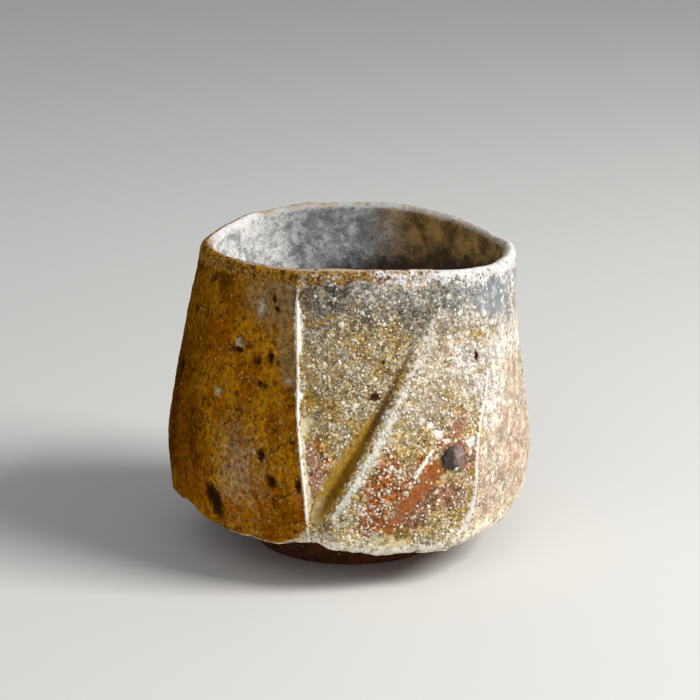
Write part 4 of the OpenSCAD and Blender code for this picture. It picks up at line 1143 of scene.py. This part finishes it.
def lathe_mesh(name, profile, count, unevenness, capped):
    """A turned body with marks of the hand: its profile is closed, or goes from axis to axis if capped."""
    turn = np.arange(count) * FULL_TURN / count
    rings = np.stack([around(radius, turn, height) for radius, height in profile])
    radii = np.maximum(np.hypot(rings[..., 0], rings[..., 1]), MM)
    rings[..., :2] *= (1 + unevenness * rough(rings, 7 * MM, 3, 5) / radii)[..., None]
    points = rings.reshape(-1, 3)
    if not capped:
        return mesh_of(name, points, ring_faces(len(profile), count, True))
    points = np.vstack([points, (0, 0, profile[0][1]), (0, 0, profile[-1][1])])
    return mesh_of(name, points, capped_faces(len(profile), count))


# Distance over which the outlines of the grains change, and ranges of their lengths and of their coarseness
GRAIN_BEND = 0.32 * MM
GRAIN_LENGTHS = (0.65, 1.4)
GRAIN_SIZES = (0.72, 1.40)


def scatter_tree():
    """Scatters flat grains over the glaze, thick where its grains zone says, and tones each one."""
    tree = bpy.data.node_groups.new("grain_scatter", "GeometryNodeTree")
    sockets = {"Geometry": "Geometry", "Faces": "Int", "Seed": "Int", "Finish": "Material"}
    sockets |= dict.fromkeys(("Spacing", "Density", "Smallest", "Largest", "Rise", "Unevenness"), "Float")
    for name, kind in sockets.items():
        tree.interface.new_socket(name, in_out="INPUT", socket_type="NodeSocket" + kind)
    tree.interface.new_socket("Geometry", in_out="OUTPUT", socket_type="NodeSocketGeometry")
    given = tree.nodes.new("NodeGroupInput").outputs

    add = partial(add_node, tree)

    def chance(low, high, shift):
        seed = add("ShaderNodeMath", {0: given["Seed"], 1: shift}, operation="ADD").outputs[0]
        return add("FunctionNodeRandomValue", {"Seed": seed, 2: low, 3: high}, data_type="FLOAT").outputs[1]

    def times(a, b):
        return add("ShaderNodeMath", {0: a, 1: b}, operation="MULTIPLY").outputs[0]

    def zone(name):
        return add("GeometryNodeInputNamedAttribute", {"Name": name}, data_type="FLOAT").outputs["Attribute"]

    points = add("GeometryNodeDistributePointsOnFaces",
                 {"Mesh": given["Geometry"], "Distance Min": given["Spacing"],
                  "Density Max": given["Density"], "Density Factor": zone("grains"), "Seed": given["Seed"]},
                 distribute_method="POISSON")
    toned = add("GeometryNodeStoreNamedAttribute",
                {"Geometry": points.outputs["Points"], "Name": "tone", "Value": chance(0, 1, 1)},
                data_type="FLOAT", domain="POINT").outputs[0]
    size = add("ShaderNodeMapRange", {"Value": times(chance(0, 1, 2), chance(0.5, 1, 3)),
                                      "To Min": given["Smallest"], "To Max": given["Largest"]}).outputs[0]
    size = times(size, add("ShaderNodeMapRange", {"Value": zone("coarse"), "To Min": GRAIN_SIZES[0],
                                                  "To Max": GRAIN_SIZES[1]}).outputs[0])
    scale = add("ShaderNodeCombineXYZ", {"X": times(size, chance(*GRAIN_LENGTHS, 4)),
                                         "Y": times(size, chance(*GRAIN_LENGTHS, 5)),
                                         "Z": times(size, given["Rise"])}).outputs[0]
    spin = add("FunctionNodeAxisAngleToRotation", {"Angle": chance(0, FULL_TURN, 6)}).outputs[0]
    facing = add("FunctionNodeRotateRotation", {"Rotation": points.outputs["Rotation"], "Rotate By": spin},
                 rotation_space="LOCAL").outputs[0]
    ball = add("GeometryNodeMeshIcoSphere", {"Radius": 1.0, "Subdivisions": given["Faces"]}).outputs["Mesh"]
    grown = add("GeometryNodeInstanceOnPoints", {"Points": toned, "Instance": ball, "Rotation": facing,
                                                 "Scale": scale}).outputs[0]
    solid = add("GeometryNodeRealizeInstances", {"Geometry": grown}).outputs[0]
    bend = add("ShaderNodeTexNoise", {"Scale": 1 / GRAIN_BEND, "Detail": 1.0}).outputs["Color"]
    bend = add("ShaderNodeVectorMath", {0: bend, 1: (0.5, 0.5, 0.5)}, operation="SUBTRACT").outputs[0]
    bend = add("ShaderNodeVectorMath", {0: bend, "Scale": given["Unevenness"]}, operation="SCALE").outputs[0]
    solid = add("GeometryNodeSetPosition", {"Geometry": solid, "Offset": bend}).outputs[0]
    solid = add("GeometryNodeSetShadeSmooth", {"Geometry": solid}).outputs[0]
    solid = add("GeometryNodeSetMaterial", {"Geometry": solid, "Material": given["Finish"]}).outputs[0]
    tree.links.new(solid, tree.nodes.new("NodeGroupOutput").inputs[0])
    return tree


def scatter(name, bed, tree, values):
    """The mesh that the scatter tree makes of a bed."""
    bed.modifiers.clear()
    modifier = bed.modifiers.new("grains", "NODES")
    modifier.node_group = tree
    for socket in tree.interface.items_tree:
        if socket.in_out == "INPUT" and socket.name in values:
            modifier[socket.identifier] = values[socket.name]
    evaluated = bed.evaluated_get(bpy.context.evaluated_depsgraph_get())
    mesh = bpy.data.meshes.new_from_object(evaluated)
    mesh.name = name
    bed.modifiers.clear()
    return mesh


def cup_of(context):
    """The wall of the cup, and its colours."""
    return Wall(context.scene.cup_form, context.scene.cup_cuts), context.scene.cup_colours


class GUINOMI_OT_carved_wall(Operator):
    """Builds the clay wall between the glazes, whose bare underside shows"""
    bl_idname = "guinomi.carved_wall"
    bl_label = "Carved wall"

    def execute(self, context):
        wall, colours = cup_of(context)
        columns = wall_columns(0.5)
        outside = span(LIP, quarter(1), 0, 4) + span(SIDE, 0, 1, 12)[1:] + span(ROLL, 0, quarter(-1), 6)[1:]
        under = span(UNDER, 0.2, 1, 14)
        inside = (span(BOWL, quarter(1), 0, 6) + span(INSIDE, 1, 0, 6)[1:-1]
                  + span(LIP, quarter(2), quarter(1), 4)[:-1])
        points = rows_of(wall, columns, outside + under + inside, -CLAY_DEPTH)
        shown = slice(len(outside), len(outside) + len(under))
        points[shown, :, 2] -= 0.12 * MM * rough(points[shown], 2.5 * MM, 4, 3)
        mesh = mesh_of("carved_wall", points, ring_faces(len(points), len(columns.line), True))
        put_in_scene("wall_clay", mesh, clay_finish("wall_clay", colours, 1.1), "clay", "carved_wall")
        return {"FINISHED"}


class GUINOMI_OT_base_disc(Operator):
    """Builds the round base under the cup"""
    bl_idname = "guinomi.base_disc"
    bl_label = "Base"

    def execute(self, context):
        form, colours = context.scene.cup_form, context.scene.cup_colours
        foot, top, inner, outer = FOOT_BOX[1].z, BASE_BOX[1].z, FOOT_BOX[1].x, BASE_BOX[1].x
        shoulder, floor = form.shoulder_height, form.floor_radius - 0.1 * MM
        steps = np.linspace(0.05, 1, 24)
        profile = [(inner * step, foot) for step in steps]
        profile += [(lerp(inner, outer, step), lerp(foot, shoulder, step)) for step in steps[2:]]
        profile += [(lerp(outer, floor, step), lerp(shoulder, top, step)) for step in (0.5, 1)] + [(MM, top)]
        mesh = lathe_mesh("base_disc", profile[::-1], 180, 0.08 * MM, True)
        put_in_scene("base_clay", mesh, clay_finish("base_clay", colours, 1.3), "bare_clay", "base_disc")
        return {"FINISHED"}


class GUINOMI_OT_foot_ring(Operator):
    """Builds the low foot ring on which the cup stands"""
    bl_idname = "guinomi.foot_ring"
    bl_label = "Foot ring"

    def execute(self, context):
        colours = context.scene.cup_colours
        high, outer = FOOT_BOX[1].z, FOOT_BOX[1].x
        inner, taper, wear = outer - 4.6 * MM, 0.5 * MM, 0.7 * MM
        steps, bends = np.linspace(0, 1, 8), np.linspace(0, quarter(1), 7)
        profile = [(lerp(outer, outer - taper, step), lerp(high, wear, step)) for step in steps]
        profile += [(outer - taper - wear + wear * math.cos(b), wear - wear * math.sin(b)) for b in bends[1:]]
        profile += [(inner + taper + wear - wear * math.sin(b), wear - wear * math.cos(b)) for b in bends]
        profile += [(lerp(inner + taper, inner, step), lerp(wear, high, step)) for step in steps[1:]]
        mesh = lathe_mesh("foot_ring", profile, 200, 0.12 * MM, False)
        put_in_scene("foot_clay", mesh, clay_finish("foot_clay", colours, 0.9), "foot_clay", "foot_ring")
        return {"FINISHED"}


class GUINOMI_OT_ash_glaze(Operator):
    """Builds the ash glaze over the outside, with its zones of colour"""
    bl_idname = "guinomi.ash_glaze"
    bl_label = "Ash glaze"

    def execute(self, context):
        wall, colours = cup_of(context)
        columns, shown, zones = outer_glaze_grid(wall)
        hidden = rows_of(wall, columns, HIDDEN_OUTER_ROWS, -GLAZE_DEPTH)
        points = np.concatenate([shown, hidden])
        mesh = mesh_of("ash_glaze", points, ring_faces(len(points), len(columns.line), True),
                       padded(zones, points.size // 3))
        put_in_scene("outer_glaze", mesh, ash_glaze_finish(colours), "ash_glaze", "ash_glaze")
        return {"FINISHED"}


class GUINOMI_OT_inner_glaze(Operator):
    """Builds the pale glaze over the inside"""
    bl_idname = "guinomi.inner_glaze"
    bl_label = "Inner glaze"

    def zones(self, wall, points):
        """How strongly each finish shows: white, grey and brown from left to right, darker deep down and on the
        right with painted shade, and the lip.
        """
        at = Spots(points)
        side = points[..., 0] / (25 * MM)
        below_lip = wall.lip_z(at.turn) / MM - at.height
        left = window(at.degrees, -125, -70, 8, 26)
        white = ramp(-0.55, -0.8, side)
        # Painted shade: darker deep down in the middle and on the right, and high up on the right, where the
        # walls shade the inside
        deep = np.maximum(ramp(49, 37, at.height) * ramp(-0.55, 0.3, side),
                          0.72 * ramp(50, 43, at.height) * ramp(0.35, 0.7, side))
        return {"grey": 0.20 + 0.66 * ramp(-0.80, -0.12, side),
                "brown": 0.95 * ramp(-0.15, 0.7, side),
                "deep": 0.1 + 0.85 * deep,
                "rusty_lip": ramp(1.0, 0.5, below_lip) * left,
                "pale_lip": 0.9 * ramp(1.1, 0.4, below_lip) * (1 - left) * (1 - white),
                "white_lip": ramp(1.4, 0.5, below_lip) * (1 - left) * white}

    def execute(self, context):
        wall, colours = cup_of(context)
        columns = wall_columns(0.6)
        rows = (span(FLOOR, 0.06, 1, 18) + span(BOWL, quarter(1), 0, 40)[1:] + span(INSIDE, 1, 0, 56)[1:]
                + span(LIP, quarter(2), quarter(1), 10)[1:])
        even = rows_of(wall, columns, rows, 0.0)
        shown = rows_of(wall, columns, rows, hand_waves(even, 0.06 * MM))
        hidden = rows_of(wall, columns, rows[::-6], -INNER_DEPTH)
        rings = np.concatenate([shown, hidden])
        middles = [(0, 0, shown[0, :, 2].mean()), (0, 0, hidden[-1, :, 2].mean())]
        points = np.vstack([rings.reshape(-1, 3), middles])
        mesh = mesh_of("inner_glaze", points, capped_faces(len(rings), len(columns.line)),
                       padded(self.zones(wall, even), len(points)))
        put_in_scene("inside_glaze", mesh, inner_glaze_finish(colours), "inner_glaze", "inner_glaze")
        return {"FINISHED"}


class GUINOMI_OT_edge_crust(Operator):
    """Builds the rough pale crust along the lower edge"""
    bl_idname = "guinomi.edge_crust"
    bl_label = "Edge crust"
    # Turns in degrees between which the crust lies, its thickness, and how deep its border is sunk
    LEFT_END, RIGHT_END = -55, 68
    THICK, SUNK = 0.26 * MM, 0.09 * MM

    def execute(self, context):
        wall, colours = cup_of(context)
        every = wall_columns(1.2)
        turns = np.degrees(wall.column_turn(every, 0))
        keep = (turns > self.LEFT_END) & (turns < self.RIGHT_END)
        columns = Columns(every.line[keep], every.share[keep])
        rows = span(SIDE, 0.95, 1, 12) + span(ROLL, 0, quarter(-1), 18)[1:] + span(UNDER, 0, 0.08, 3)[1:]
        low = np.linspace(0, 1, len(rows))[:, None]

        def thickness(points):
            degrees = Spots(points).degrees
            left = ramp(-13, -22, degrees)
            upper = low - 0.3 * left + 0.22 * rough(points, 3.5 * MM, 2, 12)
            body = ramp(0.18, 0.62, upper) * ramp(1.0, 0.82, low)
            ends = lerp(0.6, 1.0, ramp(-24, -14, degrees)) * window(degrees, -52, -40, 50, 66)
            ragged = 0.6 + 0.7 * rough(points, 1.6 * MM, 4, 8)
            return self.THICK * body * ends * ragged - self.SUNK

        size = (len(rows), len(columns.line))
        zones = {"rim": np.broadcast_to(ramp(0.2, 0.55, low), size),
                 "shaded": np.broadcast_to(0.9 * ramp(-13, -22, turns[keep]), size)}
        mesh = deposit_mesh("edge_crust", wall, columns, rows, thickness, zones)
        put_in_scene("lower_crust", mesh, crust_finish(colours), "ash_crust", "edge_crust")
        return {"FINISHED"}


class GUINOMI_OT_groove_pool(Operator):
    """Builds the smooth glaze that ran together in the lower end of the groove"""
    bl_idname = "guinomi.groove_pool"
    bl_label = "Groove pool"
    # Half width of the pool: heights, then half widths, in millimetres
    HALVES = (10.5, 12, 13.5, 16, 22, 30), (0.2, 0.9, 1.8, 2.2, 1.4, 0.2)
    # Its thickness, how deep its border is sunk, and its unevenness, in millimetres
    THICK, SUNK, UNEVEN = 0.28, 0.06, 0.09

    def execute(self, context):
        wall, colours = cup_of(context)
        left, right = np.linspace(0.5, 0.98, 30), np.linspace(0, 0.8, 14)
        columns = Columns(np.repeat([RIDGE, VALLEY], [len(left), len(right)]), np.concatenate([left, right]))
        rows = span(SIDE, 0.5, 0.95, 110)
        even = rows_of(wall, columns, rows, 0.0)
        at = Spots(even)
        off = at.radius * (at.turn - wall.lines(wall.share(at.z))[VALLEY]) / MM
        lens = np.maximum(1 - ((off - 0.1) / np.interp(at.height, *self.HALVES)) ** 2, -1.0)

        def thickness(points):
            return (self.THICK * lens - self.SUNK) * MM + self.UNEVEN * MM * rough(points, 1.4 * MM, 3, 9)

        zones = {"milky": ramp(1.9, -0.2, off) * ramp(19.5, 14.5, at.height),
                 "flank_glaze_and_shade": glaze_zones(wall, even)["flank_glaze_and_shade"]}
        mesh = deposit_mesh("groove_pool", wall, columns, rows, thickness, zones)
        put_in_scene("olive_pool", mesh, pool_finish(colours), "pooled_glaze", "groove_pool")
        return {"FINISHED"}


class GUINOMI_OT_feldspar_grains(Operator):
    """Scatters fine and coarse feldspar grains over the ash glaze"""
    bl_idname = "guinomi.feldspar_grains"
    bl_label = "Feldspar grains"
    # Most grains on a square metre, and radius of the smallest ones
    FINE_DENSITY, FINE_LEAST = 3.4 / MM ** 2, 0.11 * MM
    COARSE_DENSITY, COARSE_LEAST = 0.16 / MM ** 2, 0.30 * MM
    # Least distance between coarse grains, their height against fine ones, and how much further their seed is
    COARSE_SPACING, COARSE_RISE, COARSE_SEED = 1.5 * MM, 0.8, 40

    def execute(self, context):
        wall, colours = cup_of(context)
        grains = context.scene.cup_grains
        columns, shown, zones = outer_glaze_grid(wall)
        mesh = mesh_of("grain_bed", shown, ring_faces(len(shown), len(columns.line), False), zones)
        bed = bpy.data.objects.new("grain_bed", mesh)
        context.scene.collection.objects.link(bed)
        tree, finish = scatter_tree(), grain_finish(colours)
        shared = {"Unevenness": grains.unevenness, "Finish": finish}
        fine = scatter("feldspar_fine", bed, tree, shared | {
            "Spacing": grains.spacing, "Density": self.FINE_DENSITY, "Smallest": self.FINE_LEAST,
            "Largest": grains.fine, "Rise": grains.rise, "Faces": 1, "Seed": grains.seed})
        coarse = scatter("feldspar_coarse", bed, tree, shared | {
            "Spacing": self.COARSE_SPACING, "Density": self.COARSE_DENSITY, "Smallest": self.COARSE_LEAST,
            "Largest": grains.coarse, "Rise": self.COARSE_RISE * grains.rise, "Faces": 2,
            "Seed": grains.seed + self.COARSE_SEED})
        bpy.data.objects.remove(bed)
        for grain_mesh in (fine, coarse):
            put_in_scene(grain_mesh.name, grain_mesh, finish, "feldspar", "feldspar_grains")
        return {"FINISHED"}


class GUINOMI_OT_dark_stone(Operator):
    """Sets the burnt dark stone into the wall"""
    bl_idname = "guinomi.dark_stone"
    bl_label = "Dark stone"
    # Half sizes along the wall, up it and out of it, how far it lies off its place, and how ragged it is
    HALVES = Vector((2.2, 1.75, 0.30)) * MM
    DRIFT = Vector((-0.25, 0.7, 0)) * MM
    RAGGED = 0.30
    # How much of the grey-mauve side, partly painted light, there is in the middle of the stone, and how much
    # more at its lit right end
    BLOOM, BLOOM_RISE = 0.55, 0.8

    def execute(self, context):
        wall, colours = cup_of(context)
        cuts = context.scene.cup_cuts
        z = np.array([cuts.stone_height])
        lines = wall.lines(wall.share(z))
        turn = lerp(lines[CREST], lines[THIN], cuts.stone_place)
        place = Vector(around(wall.side_radius(turn, z), turn, z)[0])
        outward = Vector((math.sin(turn[0]), -math.cos(turn[0]), 0.1)).to_track_quat("Z", "Y")
        ball = bmesh.new()
        bmesh.ops.create_icosphere(ball, subdivisions=4, radius=1.0)
        points = []
        for vertex in ball.verts:
            ragged = 1 + self.RAGGED * noise.fractal(vertex.co * 1.6, 1.0, 2.0, 4)
            points.append(place + outward @ (self.HALVES * vertex.co * ragged + self.DRIFT))
        faces = [[vertex.index for vertex in face.verts] for face in ball.faces]
        ball.free()
        # Painted light: the grey-mauve grows towards the right, which faces the key light
        bloom_and_light = [(point.x - place.x) / self.HALVES.x * self.BLOOM_RISE + self.BLOOM for point in points]
        mesh = mesh_of("dark_stone", points, faces, {"bloom_and_light": bloom_and_light})
        put_in_scene("burnt_stone", mesh, stone_finish(colours), "dark_stone", "dark_stone")
        return {"FINISHED"}


# The floor's half size and colour, and the colour and strength of the light from all round
FLOOR_HALF, FLOOR_COLOUR = 4.0, (0.72, 0.72, 0.71, 1)
WORLD_COLOUR, WORLD_STRENGTH = (0.88, 0.90, 0.92, 1), 0.32
# Name, place, size, power and colour of each light
LIGHTS = (("key", (0.50, -0.17, 0.46), 0.30, 5.6, (1.0, 0.98, 0.94)),
          ("fill", (-0.3, -0.7, 0.6), 0.6, 0.9, (0.95, 0.97, 1.0)))
# The height that the camera looks at, its distance and rise over the horizon, its lens and its sensor
LOOK_HEIGHT, CAMERA_DISTANCE, CAMERA_RISE = 33.1 * MM, 0.42, math.radians(16)
CAMERA_LENS, CAMERA_SENSOR, CAMERA_NEAR = 125.7, 36.0, 0.01


class GUINOMI_OT_stage(Operator):
    """Sets the pale floor, the soft lights and the camera"""
    bl_idname = "guinomi.stage"
    bl_label = "Stage"

    def execute(self, context):
        scene = context.scene
        scene.view_settings.view_transform = "Standard"
        mesh = bpy.data.meshes.new("floor")
        corners = [(x * FLOOR_HALF, y * FLOOR_HALF, 0) for x, y in ((-1, -1), (1, -1), (1, 1), (-1, 1))]
        mesh.from_pydata(corners, [], [(0, 1, 2, 3)])
        floor = bpy.data.objects.new("floor", mesh)
        scene.collection.objects.link(floor)
        finish = Finish("floor", 0.7, 0.2)
        finish.give("Base Color", FLOOR_COLOUR)
        mesh.materials.append(finish.material)

        world = bpy.data.worlds.new("studio")
        world.use_nodes = True
        light = world.node_tree.nodes["Background"].inputs
        light["Color"].default_value, light["Strength"].default_value = WORLD_COLOUR, WORLD_STRENGTH
        scene.world = world

        middle = Vector((0, 0, LOOK_HEIGHT))

        def aim(name, data, place):
            thing = bpy.data.objects.new(name, data)
            thing.location = place
            thing.rotation_euler = (middle - thing.location).to_track_quat("-Z", "Y").to_euler()
            scene.collection.objects.link(thing)
            return thing

        for name, place, size, power, tint in LIGHTS:
            light = bpy.data.lights.new(name, "AREA")
            light.size, light.energy, light.color = size, power, tint
            aim(name, light, place)
        lens = bpy.data.cameras.new("camera")
        lens.sensor_width, lens.lens, lens.clip_start = CAMERA_SENSOR, CAMERA_LENS, CAMERA_NEAR
        off = Vector((0, -math.cos(CAMERA_RISE), math.sin(CAMERA_RISE))) * CAMERA_DISTANCE
        scene.camera = aim("camera", lens, middle + off)
        return {"FINISHED"}


PIECES = (GUINOMI_OT_carved_wall, GUINOMI_OT_base_disc, GUINOMI_OT_foot_ring, GUINOMI_OT_ash_glaze,
          GUINOMI_OT_inner_glaze, GUINOMI_OT_edge_crust, GUINOMI_OT_groove_pool, GUINOMI_OT_feldspar_grains,
          GUINOMI_OT_dark_stone)


class GUINOMI_PT_cup(Panel):
    """Lists the cup's pieces and sizes"""
    bl_idname = "GUINOMI_PT_cup"
    bl_label = "Hand-cut guinomi"
    bl_space_type = "VIEW_3D"
    bl_region_type = "UI"
    bl_category = "Guinomi"

    def draw(self, context):
        layout = self.layout
        for operator in (GUINOMI_OT_stage, *PIECES):
            layout.operator(operator.bl_idname)
        for name in GROUPS:
            group = getattr(context.scene, name)
            box = layout.box()
            for prop in group.bl_rna.properties.keys()[2:]:
                box.prop(group, prop)


GROUPS = {"cup_form": CupForm, "cup_cuts": CupCuts, "cup_colours": CupColours, "cup_grains": CupGrains}
CLASSES = (*GROUPS.values(), GUINOMI_OT_stage, *PIECES, GUINOMI_PT_cup)


def register():
    for cls in CLASSES:
        bpy.utils.register_class(cls)
    for name, group in GROUPS.items():
        setattr(bpy.types.Scene, name, PointerProperty(type=group))


def unregister():
    for name in GROUPS:
        delattr(bpy.types.Scene, name)
    for cls in reversed(CLASSES):
        bpy.utils.unregister_class(cls)


def main():
    register()
    bpy.ops.guinomi.stage()
    bpy.ops.guinomi.carved_wall()
    bpy.ops.guinomi.base_disc()
    bpy.ops.guinomi.foot_ring()
    bpy.ops.guinomi.ash_glaze()
    bpy.ops.guinomi.inner_glaze()
    bpy.ops.guinomi.edge_crust()
    bpy.ops.guinomi.groove_pool()
    bpy.ops.guinomi.feldspar_grains()
    bpy.ops.guinomi.dark_stone()


if __name__ == "__main__":
    main()
